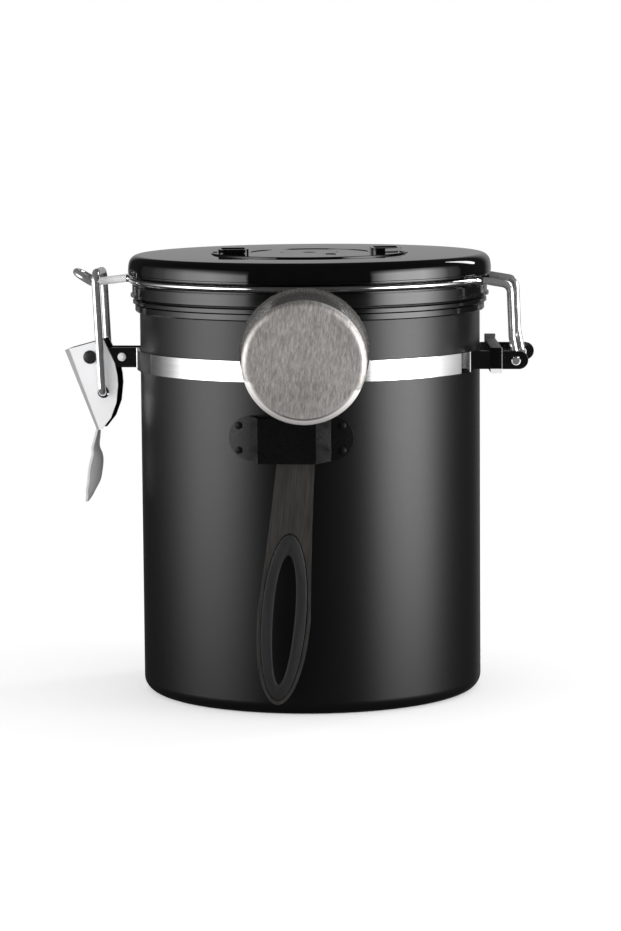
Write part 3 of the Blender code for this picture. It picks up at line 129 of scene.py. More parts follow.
# Date dial
DIAL_RADIUS = 34.4 * MM
DIAL_RECESS_DEPTH = 2.0 * MM
DIAL_PROUD = 0.5 * MM
DIAL_EDGE = 0.2 * MM
DIAL_CENTRE_RADIUS = 20.8 * MM
DIAL_CENTRE_DEPTH = 0.2 * MM
DIAL_TURN = radians(10)
TAB_LENGTH = 10.6 * MM
TAB_WIDTH = 14.0 * MM
TAB_SETBACK = 2.2 * MM
TAB_PROUD = 1.4 * MM
TAB_CORNER_RADIUS = 2.4 * MM
TAB_DISH_DEPTH = 0.5 * MM
TAB_DISH_RIM = 1.2 * MM

# Wires
BAIL_WIRE_RADIUS = 1.25 * MM
BAIL_SEAT_GAP = 0.7 * MM
BAIL_TOP_GAP = 0.35 * MM
BAIL_RING_OFFSET = 2.6 * MM
LINK_WIRE_RADIUS = 1.4 * MM

# Clamp band round the cup
BAND_HEIGHT = 7.0 * MM
BAND_DROP = 22.9 * MM
BAND_THICKNESS = 0.9 * MM
BAND_FOLD_RADIUS = 0.6 * MM

# Hinge on the right
HINGE_REACH = 14.0 * MM
HINGE_ARM_HALF_SPACING = 18.75 * MM
HINGE_ARM_END = 4.2 * MM
HINGE_ARM_HEIGHT = 6.3 * MM
HINGE_ARM_RISE = 0.65 * MM
HINGE_ARM_STEP_INSET = 1.8 * MM
HINGE_ARM_STEP = 1.2 * MM
HINGE_RISE = 0.4 * MM
HINGE_LEG_SETBACK = 2.05 * MM
HINGE_PIN_PROUD = 1.1 * MM
HINGE_PIN_BEND = 1.6 * MM
HINGE_HOLE_CLEARANCE = 0.35 * MM
LEG_TOP_LEAN = 2.2 * MM
LEG_TOP_DROP = 1.55 * MM
LEG_TOP_BEND = 3.0 * MM
LEG_KNEE_LEAN = 1.5 * MM
LEG_KNEE_HEIGHT = 8.0 * MM
LEG_KNEE_BEND = 5.0 * MM
RING_EXIT_BEND = 3.0 * MM
KEEPER_SETBACK = 9.2 * MM
KEEPER_WIDTH = 4.0 * MM
KEEPER_THICKNESS = 1.0 * MM
KEEPER_EDGE = 0.25 * MM
KEEPER_LIP = 1.6 * MM
KEEPER_SKEW = 4.68 * MM

# Catch loop on the left end of the bail wire
CATCH_HALF_SPACING = 4.2 * MM
CATCH_EXIT_BEND = 2.5 * MM
CATCH_DROP = 1.55 * MM
CATCH_KNEE_REACH = 14.6 * MM
CATCH_KNEE_BEND = 2.5 * MM
CATCH_RISE = radians(31)
CATCH_NOSE_LENGTH = 7.2 * MM

# Latch on the left
PIVOT_REACH = 18.0 * MM
PIVOT_RISE = 0.2 * MM
LATCH_ARM_HALF_SPACING = 4.35 * MM
LATCH_ARM_END = 3.5 * MM
PIVOT_RADIUS = 1.6 * MM
PIVOT_HEAD_RADIUS = 2.4 * MM
PIVOT_HEAD_HEIGHT = 0.5 * MM
PIVOT_HEAD_GAP = 0.2 * MM
CLAMP_RIVET_SETBACK = 11.3 * MM
CLAMP_RIVET_RADIUS = 1.0 * MM
CLAMP_RIVET_HEAD_RADIUS = 1.5 * MM
CLAMP_RIVET_HEAD_HEIGHT = 0.9 * MM
LEVER_SHEET = 0.8 * MM
LEVER_TOP_REACH = 9.0 * MM
LEVER_TOP_RISE = 2.5 * MM
LEVER_HORN_RISE = 6.3 * MM
LEVER_BELLY = 9.9 * MM
LEVER_DEPTH = 25.9 * MM
LEVER_TOE_LEFT = 2.1 * MM
LEVER_TOE_RIGHT = 3.8 * MM
LEVER_CHEEK_SHARES = ((0.0, 0.485), (0.27, 0.9), (0.40, 0.975), (0.50, 1.0), (0.70, 0.93), (0.87, 0.72))
LINK_PIVOT_DX = 4.6 * MM
LINK_PIVOT_DROP = 12.5 * MM
LINK_HOLE_RADIUS = 2.1 * MM
LINK_HALF_SPACING = 8.3 * MM
LINK_PIN_END = 4.5 * MM
LINK_PIN_BEND = 1.7 * MM
LINK_LENGTH = 42.5 * MM
LINK_LEAN = 1.9 * MM
LINK_TOP_BEND = 3.2 * MM

# Finger tab of the lever: the first number in each row is the place from the neck to the tip
FINGER_LENGTH = 28.4 * MM
FINGER_HALF_WIDTH = 5.6 * MM
FINGER_DISH = 3.5 * MM
FINGER_SWEEP = 4.9 * MM
FINGER_OVERLAP = 2.0 * MM
FINGER_X = 1.7 * MM
FINGER_SWEEP_SHARES = (
    (0.0, 0.0), (0.17, 0.08), (0.3, 0.12), (0.4, -0.09), (0.48, -0.14), (0.6, -0.07), (0.73, 0.09),
    (0.83, 0.39), (0.94, 0.74), (1.0, 1.0),
)
FINGER_WIDTH_SHARES = (
    (0.0, 0.42), (0.18, 0.7), (0.32, 0.78), (0.5, 1.0), (0.75, 0.86), (0.92, 0.5), (1.0, 0.22),
)
FINGER_DISH_SHARES = (
    (0.0, 0.02), (0.18, 0.2), (0.33, 0.48), (0.48, 0.91), (0.65, 1.0), (0.82, 0.7), (1.0, 0.05),
)
FINGER_STEPS = 72
FINGER_ACROSS_STEPS = 24

# Bracket that holds the scoop
BRACKET_SHEET = 0.8 * MM
BRACKET_DROP = 22.5 * MM
BRACKET_HEIGHT = 15.2 * MM
BRACKET_WIDTH = 42.6 * MM
BRACKET_FRONT_HALF = 10.0 * MM
BRACKET_BASE_HALF = 13.6 * MM
BRACKET_STAND_OFF = 9.7 * MM
BRACKET_RIVET_X = 17.7 * MM
BRACKET_RIVET_SPACING = 8.4 * MM
BRACKET_RIVET_RADIUS = 0.7 * MM
BRACKET_RIVET_HEAD_RADIUS = 1.2 * MM
BRACKET_RIVET_HEAD_HEIGHT = 0.4 * MM

# Scoop: it leans in the bracket and turns a little to its right
SCOOP_LEAN = radians(4.9)
SCOOP_YAW = radians(6.7)
SCOOP_MOUTH_X = 5.7 * MM
SCOOP_STAND_OFF = 4.8 * MM
BOWL_MOUTH_RADIUS = 21.85 * MM
BOWL_WALL_RADIUS = 21.1 * MM
BOWL_FLOOR_RADIUS = 20.7 * MM
BOWL_DEPTH = 25.0 * MM
BOWL_SHEET = 0.8 * MM
BOWL_CORNER_RADIUS = 2.4 * MM
BOWL_LIP_THICKNESS = 1.2 * MM
BOWL_STEPS = 192
BOWL_DROOP = radians(3.8)
HANDLE_LENGTH = 120.2 * MM
HANDLE_THICKNESS = 1.2 * MM
HANDLE_NECK_HALF = 6.3 * MM
HANDLE_HALF_WIDTH = 9.15 * MM
HANDLE_END_LENGTH = 30.2 * MM
HANDLE_NECK_END = 28.0 * MM
HANDLE_TAPER_POWER = 1.6
HANDLE_STEPS = 48
GRIP_RIM = 1.3 * MM
GRIP_LENGTH = 57.5 * MM
GRIP_THICKNESS = 2.4 * MM
GRIP_EDGE = 0.5 * MM
SLOT_HALF_WIDTH = 3.7 * MM
SLOT_TOP_WALL = 7.6 * MM
SLOT_BOTTOM_WALL = 5.9 * MM
SLOT_WIDEST_RISE = 2.0 * MM
EGG_STEPS = 48

# Places that follow from the sizes above
LID_RADIUS = BODY_RADIUS + LID_OVERHANG
NECK_RADIUS = BODY_RADIUS + NECK_OFFSET
PLUG_RADIUS = BODY_RADIUS - BODY_WALL - PLUG_CLEARANCE
BAIL_RING_RADIUS = BODY_RADIUS + BAIL_RING_OFFSET
BAND_MIDDLE_Z = BODY_HEIGHT - BAND_DROP
HINGE_X = BODY_RADIUS + HINGE_REACH
HINGE_ARM_STEP_X = BODY_RADIUS - HINGE_ARM_STEP_INSET
LEG_TOP_X = HINGE_X - LEG_TOP_LEAN
LEG_KNEE_X = HINGE_X - LEG_KNEE_LEAN
KEEPER_X = HINGE_X - KEEPER_SETBACK
PIVOT_X = -(BODY_RADIUS + PIVOT_REACH)
CLAMP_RIVET_X = PIVOT_X + CLAMP_RIVET_SETBACK
CATCH_KNEE_X = -(BAIL_RING_RADIUS + CATCH_KNEE_REACH)
BRACKET_MIDDLE_Z = BAND_MIDDLE_Z - BRACKET_DROP
SCOOP_MOUTH_Y = -(BODY_RADIUS + SCOOP_STAND_OFF)
HANDLE_WIDEST_AT = HANDLE_LENGTH - HANDLE_END_LENGTH
GRIP_BOTTOM_AT = HANDLE_LENGTH - GRIP_RIM
GRIP_TOP_AT = GRIP_BOTTOM_AT - GRIP_LENGTH
SLOT_TOP_AT = GRIP_TOP_AT + SLOT_TOP_WALL
SLOT_BOTTOM_AT = GRIP_BOTTOM_AT - SLOT_BOTTOM_WALL
SLOT_WIDEST_AT = HANDLE_WIDEST_AT - SLOT_WIDEST_RISE
LIP_RADIUS = BODY_RADIUS + LIP_OVERHANG
GASKET_RADIUS = LIP_RADIUS + SEAT_GAP
GASKET_INNER_RADIUS = GASKET_RADIUS - GASKET_WIDTH
LIP_BOTTOM_Z = BODY_HEIGHT - LIP_DEPTH
GASKET_BOTTOM_Z = BODY_HEIGHT + SEAT_GAP
GASKET_TOP_Z = GASKET_BOTTOM_Z + GASKET_THICKNESS
WEB_BOTTOM_Z = GASKET_TOP_Z + SEAT_GAP
WEB_TOP_Z = WEB_BOTTOM_Z + WEB_THICKNESS
SKIRT_INNER_RADIUS = LIP_RADIUS + SKIRT_CLEARANCE
SKIRT_RADIUS = SKIRT_INNER_RADIUS + SKIRT_WALL
RING_Z = WEB_TOP_Z + BAIL_SEAT_GAP + BAIL_WIRE_RADIUS
SHELL_BOTTOM_Z = RING_Z + BAIL_WIRE_RADIUS + BAIL_TOP_GAP
SHELL_TOP_Z = SHELL_BOTTOM_Z + SHELL_HEIGHT
RECESS_Z = SHELL_TOP_Z - DIAL_RECESS_DEPTH
RECESS_UNDERSIDE_Z = RECESS_Z - SHELL_WALL
PLUG_BOTTOM_Z = BODY_HEIGHT - PLUG_DEPTH
DIAL_BOTTOM_Z = RECESS_Z + SEAT_GAP
DIAL_TOP_Z = SHELL_TOP_Z + DIAL_PROUD
CAP_TOP_Z = DIAL_TOP_Z - DIAL_CENTRE_DEPTH
CAP_FLANGE_Z = CAP_TOP_Z - CAP_FLANGE_THICKNESS
HINGE_POINT = Vector((HINGE_X, 0, BAND_MIDDLE_Z + HINGE_RISE))
PIVOT_POINT = Vector((PIVOT_X, 0, BAND_MIDDLE_Z + PIVOT_RISE))
HINGE_ARM_Z = BAND_MIDDLE_Z + HINGE_ARM_RISE
HINGE_ARM_TOP_Z = HINGE_ARM_Z + HINGE_ARM_HEIGHT / 2
HINGE_ARM_BOTTOM_Z = HINGE_ARM_Z - HINGE_ARM_HEIGHT / 2
BAND_TOP_Z = BAND_MIDDLE_Z + BAND_HEIGHT / 2
BAND_BOTTOM_Z = BAND_MIDDLE_Z - BAND_HEIGHT / 2
CLAMP_RIVET_POINT = Vector((CLAMP_RIVET_X, 0, BAND_MIDDLE_Z + PIVOT_RISE))
LINK_POINT = PIVOT_POINT + Vector((LINK_PIVOT_DX, 0, -LINK_PIVOT_DROP))
BAND_INNER_RADIUS = BODY_RADIUS + SEAT_GAP
BAND_MIDDLE_RADIUS = BAND_INNER_RADIUS + BAND_THICKNESS / 2
HINGE_ARM_FACE = HINGE_ARM_HALF_SPACING + BAND_THICKNESS / 2
LATCH_ARM_FACE = LATCH_ARM_HALF_SPACING + BAND_THICKNESS / 2
LEVER_INNER_HALF = LATCH_ARM_FACE + RUNNING_GAP
LEVER_OUTER_HALF = LEVER_INNER_HALF + LEVER_SHEET
BRACKET_TOP_Z = BRACKET_MIDDLE_Z + BRACKET_HEIGHT / 2
SCOOP_MOUTH_Z = BRACKET_TOP_Z + SEAT_GAP + BOWL_MOUTH_RADIUS
SCOOP_POINT = Vector((SCOOP_MOUTH_X, SCOOP_MOUTH_Y, SCOOP_MOUTH_Z))


def link_object(name, data):
    obj = bpy.data.objects.new(name, data)
    bpy.context.scene.collection.objects.link(obj)
    return obj


def mesh_object(name, bm):
    """The finished bmesh as an object, faces out and shaded smooth between its sharp edges."""
    bmesh.ops.recalc_face_normals(bm, faces=bm.faces)
    mesh = bpy.data.meshes.new(name)
    bm.to_mesh(mesh)
    bm.free()
    mesh.shade_smooth()
    mesh.set_sharp_from_angle(angle=SMOOTH_ANGLE)
    return link_object(name, mesh)


def arc(centre, radius, start, end, steps=CORNER_STEPS):
    """Points on a circle from the start angle to the end angle, in degrees."""
    points = []
    for i in range(steps + 1):
        angle = radians(start + (end - start) * i / steps)
        points.append((centre[0] + radius * cos(angle), centre[1] + radius * sin(angle)))
    return points


def blended(shares, at):
    """A smooth curve through the rows of a table of shares."""
    last = len(shares) - 1
    for i in range(last):
        (a, low), (b, high) = shares[i], shares[i + 1]
        if at > b and i < last - 1:
            continue
        before = shares[max(i - 1, 0)]
        after = shares[min(i + 2, last)]
        slope_in = (high - before[1]) / (b - before[0]) * (b - a)
        slope_out = (after[1] - low) / (after[0] - a) * (b - a)
        t = min((at - a) / (b - a), 1)
        start = (2 * t**3 - 3 * t**2 + 1) * low + (t**3 - 2 * t**2 + t) * slope_in
        return start + (3 * t**2 - 2 * t**3) * high + (t**3 - t**2) * slope_out
    return low


def turned(name, outline, steps=ROUND_STEPS):
    """A closed outline of (radius, height) points turned about Z."""
    bm = bmesh.new()
    rings = []
    for radius, height in outline:
        if radius == 0:
            rings.append([bm.verts.new((0, 0, height))] * steps)
            continue
        turn = [2 * pi * i / steps for i in range(steps)]
        rings.append([bm.verts.new((radius * cos(a), radius * sin(a), height)) for a in turn])
    for first, second in zip(rings, rings[1:] + rings[:1]):
        for i in range(steps):
            corners = [first[i], first[(i + 1) % steps], second[(i + 1) % steps], second[i]]
            face = list(dict.fromkeys(corners))
            if len(face) > 2:
                bm.faces.new(face)
    return mesh_object(name, bm)


def extruded(name, outline, low, high, axis):
    """A closed plane outline drawn out along one axis: (x, y) along Z, (x, z) along Y or (y, z) along X."""
    places = {"Z": lambda a, b, c: (a, b, c), "Y": lambda a, b, c: (a, c, b), "X": lambda a, b, c: (c, a, b)}
    bm = bmesh.new()
    near = [bm.verts.new(places[axis](a, b, low)) for a, b in outline]
    far = [bm.verts.new(places[axis](a, b, high)) for a, b in outline]
    bm.faces.new(near)
    bm.faces.new(far)
    count = len(outline)
    for i in range(count):
        bm.faces.new((near[i], near[(i + 1) % count], far[(i + 1) % count], far[i]))
    return mesh_object(name, bm)


def boolean(obj, other, operation):
    """Cuts, joins or intersects with another solid drawn in the object's own frame."""
    other.parent = obj
    other.hide_render = True
    other.display_type = "WIRE"
    modifier = obj.modifiers.new(other.name, "BOOLEAN")
    modifier.operation = operation
    modifier.object = other
    modifier.solver = "EXACT"
    return obj


def cut(obj, name, outline, low, high, axis):
    return boolean(obj, extruded(name, outline, low, high, axis), "DIFFERENCE")


def beveled(obj, width):
    modifier = obj.modifiers.new("edge", "BEVEL")
    modifier.width = width
    modifier.segments = 2
    modifier.limit_method = "ANGLE"
    modifier.angle_limit = BEVEL_ANGLE
    return obj


def drill(obj, name, point, radius, reach):
    """A round hole through the object along Y, at a point of its own frame."""
    circle = arc((point.x, point.z), radius, 0, 360, SMALL_STEPS)[:-1]
    return cut(obj, name, circle, point.y - reach, point.y + reach, "Y")


def stepped(first, second, *moves):
    """An outline of square steps from a first point: each move sets one coordinate, the first one first."""
    points = [(first, second)]
    for number, value in enumerate(moves):
        first, second = (first, value) if number % 2 else (value, second)
        points.append((first, second))
    return points


def rectangle(x_low, x_high, y_low, y_high):
    return stepped(x_low, y_low, x_high, y_high, x_low)


def spun(points, angle):
    """Plane points turned about the origin."""
    turn = Matrix.Rotation(angle, 2)
    return [turn @ Vector(point) for point in points]


def stadium(x_low, x_high, z_low, z_high):
    """A long outline with half-round ends."""
    radius = (z_high - z_low) / 2
    middle = (z_high + z_low) / 2
    right = arc((x_high - radius, middle), radius, -90, 90, 2 * CORNER_STEPS)
    return right + arc((x_low + radius, middle), radius, 90, 270, 2 * CORNER_STEPS)


def strip_outline(path, thickness):
    """The closed outline of a bent strip whose middle line is the path."""
    left = []
    right = []
    for i, point in enumerate(path):
        before = Vector(path[max(i - 1, 0)])
        here = Vector(point)
        after = Vector(path[min(i + 1, len(path) - 1)])
        first = (here - before) if i else (after - here)
        second = (after - here) if i < len(path) - 1 else first
        first.normalize()
        second.normalize()
        along = (first + second).normalized()
        normal = Vector((-along.y, along.x))
        reach = thickness / 2 / normal.dot(Vector((-first.y, first.x)))
        left.append(tuple(here + normal * reach))
        right.append(tuple(here - normal * reach))
    return left + right[::-1]


def bent(corners):
    """Points along a wire that runs from corner to corner, with each corner rounded to its bend radius."""
    points = [corners[0][0]]
    for (before, _), (here, radius), (after, _) in zip(corners, corners[1:], corners[2:]):
        into = (here - before).normalized()
        out = (after - here).normalized()
        turn = into.angle(out)
        run = radius * tan(turn / 2)
        across = (out - into * into.dot(out)).normalized()
        start = here - into * run
        centre = start + across * radius
        for i in range(CORNER_STEPS + 1):
            angle = turn * i / CORNER_STEPS
            points.append(centre - across * radius * cos(angle) + into * radius * sin(angle))
    points.append(corners[-1][0])
    return points


def wire(name, points, radius):
    """A round wire with closed ends along a list of points."""
    curve = bpy.data.curves.new(name, "CURVE")
    curve.dimensions = "3D"
    curve.bevel_depth = radius
    curve.bevel_resolution = WIRE_RESOLUTION
    curve.use_fill_caps = True
    spline = curve.splines.new("POLY")
    spline.points.add(len(points) - 1)
    for place, point in zip(spline.points, points):
        place.co = (*point, 1)
    return link_object(name, curve)


def egg(half_width, top, widest, bottom):
    """A closed oval of (x, z) points below the scoop's mouth, longer on one side of its widest place."""
    points = []
    for i in range(2 * EGG_STEPS):
        angle = pi * i / EGG_STEPS
        across = half_width * sin(angle)
        along = cos(angle)
        reach = (widest - top) if along > 0 else (bottom - widest)
        points.append((across, -(widest - reach * along)))
    return points


def steel_cup():
    inner_corner = BASE_CORNER_RADIUS - BODY_WALL
    corner = (BODY_RADIUS - BASE_CORNER_RADIUS, BASE_CORNER_RADIUS)
    edge = LIP_DEPTH / 4
    outside = [(0, 0)] + arc(corner, BASE_CORNER_RADIUS, -90, 0)
    lip = [(BODY_RADIUS, LIP_BOTTOM_Z), (LIP_RADIUS - edge, LIP_BOTTOM_Z), (LIP_RADIUS, LIP_BOTTOM_Z + edge)]
    lip += [(LIP_RADIUS, BODY_HEIGHT - edge), (LIP_RADIUS - edge, BODY_HEIGHT)]
    lip.append((BODY_RADIUS - BODY_WALL, BODY_HEIGHT))
    inside = arc(corner, inner_corner, 0, -90) + [(0, BODY_WALL)]
    return turned("canister_body", outside + lip + inside)


def neck_collar():
    inner = BODY_RADIUS + SEAT_GAP
    lip = inner + COLLAR_LIP_WALL
    band = inner + COLLAR_BAND_WALL
    groove = inner + COLLAR_GROOVE_WALL
    top = LIP_BOTTOM_Z - SEAT_GAP
    bottom = top - COLLAR_HEIGHT
    band_bottom = top - COLLAR_BAND_DEPTH
    groove_z = band_bottom - COLLAR_EDGE
    outline = [
        (inner, bottom), (lip - COLLAR_EDGE, bottom), (lip, bottom + COLLAR_EDGE),
        (lip, groove_z - COLLAR_EDGE), (groove, groove_z), (groove, band_bottom), (band, band_bottom),
        (band, top - COLLAR_EDGE), (band - COLLAR_EDGE, top), (inner, top),
    ]
    return turned("neck_collar", outline)


def band_arc(radius, from_angle, to_angle, steps):
    return arc((0, 0), radius, degrees(from_angle), degrees(to_angle), steps)


def band_edges():
    """The strap's side outline: a round latch end, the band, and a slightly higher round hinge end."""
    latch_radius = BAND_HEIGHT / 2
    hinge_radius = HINGE_ARM_HEIGHT / 2
    latch_end = arc((PIVOT_X - LATCH_ARM_END + latch_radius, BAND_MIDDLE_Z), latch_radius, 90, 270)
    hinge_end = arc((HINGE_X + HINGE_ARM_END - hinge_radius, HINGE_ARM_Z), hinge_radius, -90, 90)
    below = [(HINGE_ARM_STEP_X, BAND_BOTTOM_Z), (HINGE_ARM_STEP_X + HINGE_ARM_STEP, HINGE_ARM_BOTTOM_Z)]
    above = [(HINGE_ARM_STEP_X + HINGE_ARM_STEP, HINGE_ARM_TOP_Z), (HINGE_ARM_STEP_X, BAND_TOP_Z)]
    return latch_end + below + hinge_end + above


def half_band(name, side):
    """One half of the clamp band, folded out into a latch arm on the left and a hinge arm on the right."""
    reach = BAND_MIDDLE_RADIUS
    fold = BAND_FOLD_RADIUS + BAND_THICKNESS / 2
    latch_angle = asin((LATCH_ARM_HALF_SPACING + fold) / (reach + fold))
    hinge_angle = asin((HINGE_ARM_HALF_SPACING + fold) / (reach + fold))
    latch_centre = ((reach + fold) * -cos(latch_angle), -(LATCH_ARM_HALF_SPACING + fold))
    hinge_centre = ((reach + fold) * cos(hinge_angle), -(HINGE_ARM_HALF_SPACING + fold))
    path = [(PIVOT_X - LATCH_ARM_END, -LATCH_ARM_HALF_SPACING)]
    path += arc(latch_centre, fold, 90, degrees(latch_angle), CORNER_STEPS)
    path += band_arc(reach, -pi + latch_angle, -hinge_angle, ROUND_STEPS // 2)[1:-1]
    path += arc(hinge_centre, fold, 180 - degrees(hinge_angle), 90, CORNER_STEPS)
    path.append((HINGE_X + HINGE_ARM_END, -HINGE_ARM_HALF_SPACING))
    outline = [(x, side * y) for x, y in strip_outline(path, BAND_THICKNESS)]
    band = extruded(name, outline, BAND_BOTTOM_Z, HINGE_ARM_TOP_Z, "Z")
    boolean(band, extruded(name + "_edges", band_edges(), -LID_RADIUS, LID_RADIUS, "Y"), "INTERSECT")
    holes = (
        ("pivot", PIVOT_POINT, PIVOT_RADIUS + RUNNING_GAP, LATCH_ARM_HALF_SPACING),
        ("rivet", CLAMP_RIVET_POINT, CLAMP_RIVET_RADIUS + SEAT_GAP, LATCH_ARM_HALF_SPACING),
        ("hinge", HINGE_POINT, BAIL_WIRE_RADIUS + HINGE_HOLE_CLEARANCE, HINGE_ARM_HALF_SPACING),
    )
    for hole, point, radius, arm in holes:
        middle = Vector((point.x, -side * arm, point.z))
        drill(band, f"{name}_{hole}_hole", middle, radius, BAND_THICKNESS)
    return band


def hinge_keeper():
    """A folded sleeve round both hinge arms, a little askew, with its rear edge turned up."""
    inner_y = HINGE_ARM_FACE + SEAT_GAP
    inner_z = HINGE_ARM_HEIGHT / 2 + SEAT_GAP
    outer_y = inner_y + KEEPER_THICKNESS
    outer_z = inner_z + KEEPER_THICKNESS
    low = KEEPER_X - KEEPER_WIDTH / 2
    high = KEEPER_X + KEEPER_WIDTH / 2
    lip_y = outer_y - KEEPER_THICKNESS
    sleeve = stepped(-outer_y, -outer_z, outer_y, outer_z + KEEPER_LIP, lip_y, outer_z, -outer_y)
    space = rectangle(-inner_y, inner_y, -inner_z, inner_z)
    keeper = extruded("hinge_keeper", sleeve, low, high, "X")
    bore = extruded("keeper_bore", space, low - CUT_OVERRUN, high + CUT_OVERRUN, "X")
    for solid in (keeper, bore):
        for vertex in solid.data.vertices:
            vertex.co.x -= KEEPER_SKEW * vertex.co.y / (2 * inner_y)
    keeper.location.z = HINGE_ARM_Z
    boolean(keeper, bore, "DIFFERENCE")
    return beveled(keeper, KEEPER_EDGE)


def domed_head(radius, height, base):
    """The outline of a low domed head on a face at the base, from its edge to its middle."""
    return [(radius, base), (radius, base + height / 3), (radius / 2, base + height), (0, base + height)]


def double_headed_pin(name, point, shaft, head, head_height, face):
    """A pin along Y with a low domed head at each end, centred on a point."""
    upper = [(shaft, face)] + domed_head(head, head_height, face)
    lower = [(radius, -height) for radius, height in upper[::-1]]
    pin = turned(name, lower + upper, SMALL_STEPS)
    pin.rotation_euler = (pi / 2, 0, 0)
    pin.location = point
    return pin


def lever_pivot_pin():
    sizes = (PIVOT_RADIUS, PIVOT_HEAD_RADIUS, PIVOT_HEAD_HEIGHT, LEVER_OUTER_HALF + PIVOT_HEAD_GAP)
    return double_headed_pin("lever_pivot_pin", PIVOT_POINT, *sizes)


def clamp_rivet():
    sizes = (CLAMP_RIVET_RADIUS, CLAMP_RIVET_HEAD_RADIUS, CLAMP_RIVET_HEAD_HEIGHT, LATCH_ARM_FACE + SEAT_GAP)
    return double_headed_pin("clamp_rivet", CLAMP_RIVET_POINT, *sizes)


def half_bail_path():
    """The front half of the bail wire, from its hinge pin round the lid to the tip of the catch loop."""
    leg_y = -(HINGE_ARM_HALF_SPACING - HINGE_LEG_SETBACK)
    pin_y = -(HINGE_ARM_FACE + HINGE_PIN_PROUD)
    exit_reach = BAIL_RING_RADIUS + RING_EXIT_BEND
    exit_y = leg_y - RING_EXIT_BEND
    exit_x = sqrt(exit_reach**2 - exit_y**2)
    leg = [
        (Vector((HINGE_X, pin_y, HINGE_POINT.z)), 0),
        (Vector((HINGE_X, leg_y, HINGE_POINT.z)), HINGE_PIN_BEND),
        (Vector((LEG_KNEE_X, leg_y, HINGE_POINT.z + LEG_KNEE_HEIGHT)), LEG_KNEE_BEND),
        (Vector((LEG_TOP_X, leg_y, RING_Z - LEG_TOP_DROP)), LEG_TOP_BEND),
        (Vector((exit_x, leg_y, RING_Z)), 0),
    ]
    points = bent(leg)
    ring_start = atan2(exit_y, exit_x)
    turn_in = arc((exit_x, exit_y), RING_EXIT_BEND, 90, 180 + degrees(ring_start))
    catch_y = -(CATCH_HALF_SPACING + CATCH_EXIT_BEND)
    catch_x = -sqrt((BAIL_RING_RADIUS + CATCH_EXIT_BEND) ** 2 - catch_y**2)
    ring_end = atan2(catch_y, catch_x)
    ring = band_arc(BAIL_RING_RADIUS, ring_start, ring_end, ROUND_STEPS // 2 - 4)
    turn_out = arc((catch_x, catch_y), CATCH_EXIT_BEND, 180 + degrees(ring_end), 90)
    points += [Vector((x, y, RING_Z)) for x, y in turn_in[1:] + ring[1:] + turn_out[1:]]
    knee = Vector((CATCH_KNEE_X, -CATCH_HALF_SPACING, RING_Z - CATCH_DROP))
    rise = Vector((-cos(CATCH_RISE), 0, sin(CATCH_RISE)))
    loop_centre = knee + rise * (CATCH_NOSE_LENGTH - CATCH_HALF_SPACING)
    catch = bent([(points[-1], 0), (knee, CATCH_KNEE_BEND), (loop_centre, 0)])
    points += catch[1:]
    across = Vector((0, CATCH_HALF_SPACING, 0))
    middle = loop_centre + across
    for i in range(1, CORNER_STEPS + 1):
        angle = pi / 2 * i / CORNER_STEPS
        points.append(middle + rise * CATCH_HALF_SPACING * sin(angle) - across * cos(angle))
    return points


def bail_ring():
    half = half_bail_path()
    mirrored = [Vector((p.x, -p.y, p.z)) for p in half[-2::-1]]
    return wire("bail_ring", half + mirrored, BAIL_WIRE_RADIUS)


def shell_face():
    """The shell's outer profile from its rounded rim, down the tall bowed face to the lip over the wire."""
    top = degrees(SHELL_FACE_TOP)
    bottom = degrees(SHELL_FACE_BOTTOM)
    corner_z = SHELL_TOP_Z - SHELL_CORNER_RADIUS
    face_z = corner_z + (SHELL_CORNER_RADIUS - SHELL_FACE_RADIUS) * sin(SHELL_FACE_TOP)
    face_r = LID_RADIUS - SHELL_FACE_RADIUS
    corner_r = face_r + (SHELL_FACE_RADIUS - SHELL_CORNER_RADIUS) * cos(SHELL_FACE_TOP)
    rim = arc((corner_r, corner_z), SHELL_CORNER_RADIUS, 90, top, 2 * CORNER_STEPS)
    face = arc((face_r, face_z), SHELL_FACE_RADIUS, top, bottom, CORNER_STEPS)[1:]
    foot = face[-1][0]
    lip_top = SHELL_BOTTOM_Z + SHELL_LIP_HEIGHT
    groove = stepped(foot, lip_top + SHELL_LIP_GROOVE, foot - SHELL_LIP_INSET, lip_top)
    edge = SHELL_LIP_HEIGHT / 4
    edge_r = LID_RADIUS - SHELL_LIP_INSET / 3 - edge
    lip = arc((edge_r, lip_top - edge), edge, 90, 0) + arc((edge_r, SHELL_BOTTOM_Z + edge), edge, 0, -90)
    return rim + face[:-1] + groove + lip


def lid_top_shell():
    inner_r = NECK_RADIUS + SEAT_GAP
    ceiling = SHELL_TOP_Z - SHELL_WALL
    recess_r = DIAL_RADIUS + RUNNING_GAP
    bore_r = CAP_STEM_RADIUS + SEAT_GAP
    bevel = SHELL_CORNER_RADIUS / 2
    recess = [(bore_r, RECESS_UNDERSIDE_Z)] + stepped(bore_r, RECESS_Z, recess_r, SHELL_TOP_Z)
    inside = [(inner_r, SHELL_BOTTOM_Z), (inner_r, ceiling - bevel), (inner_r - bevel, ceiling)]
    inside += [(recess_r + 2 * SHELL_WALL, ceiling), (recess_r + SHELL_WALL, RECESS_UNDERSIDE_Z)]
    return turned("lid_top_shell", recess + shell_face() + inside)


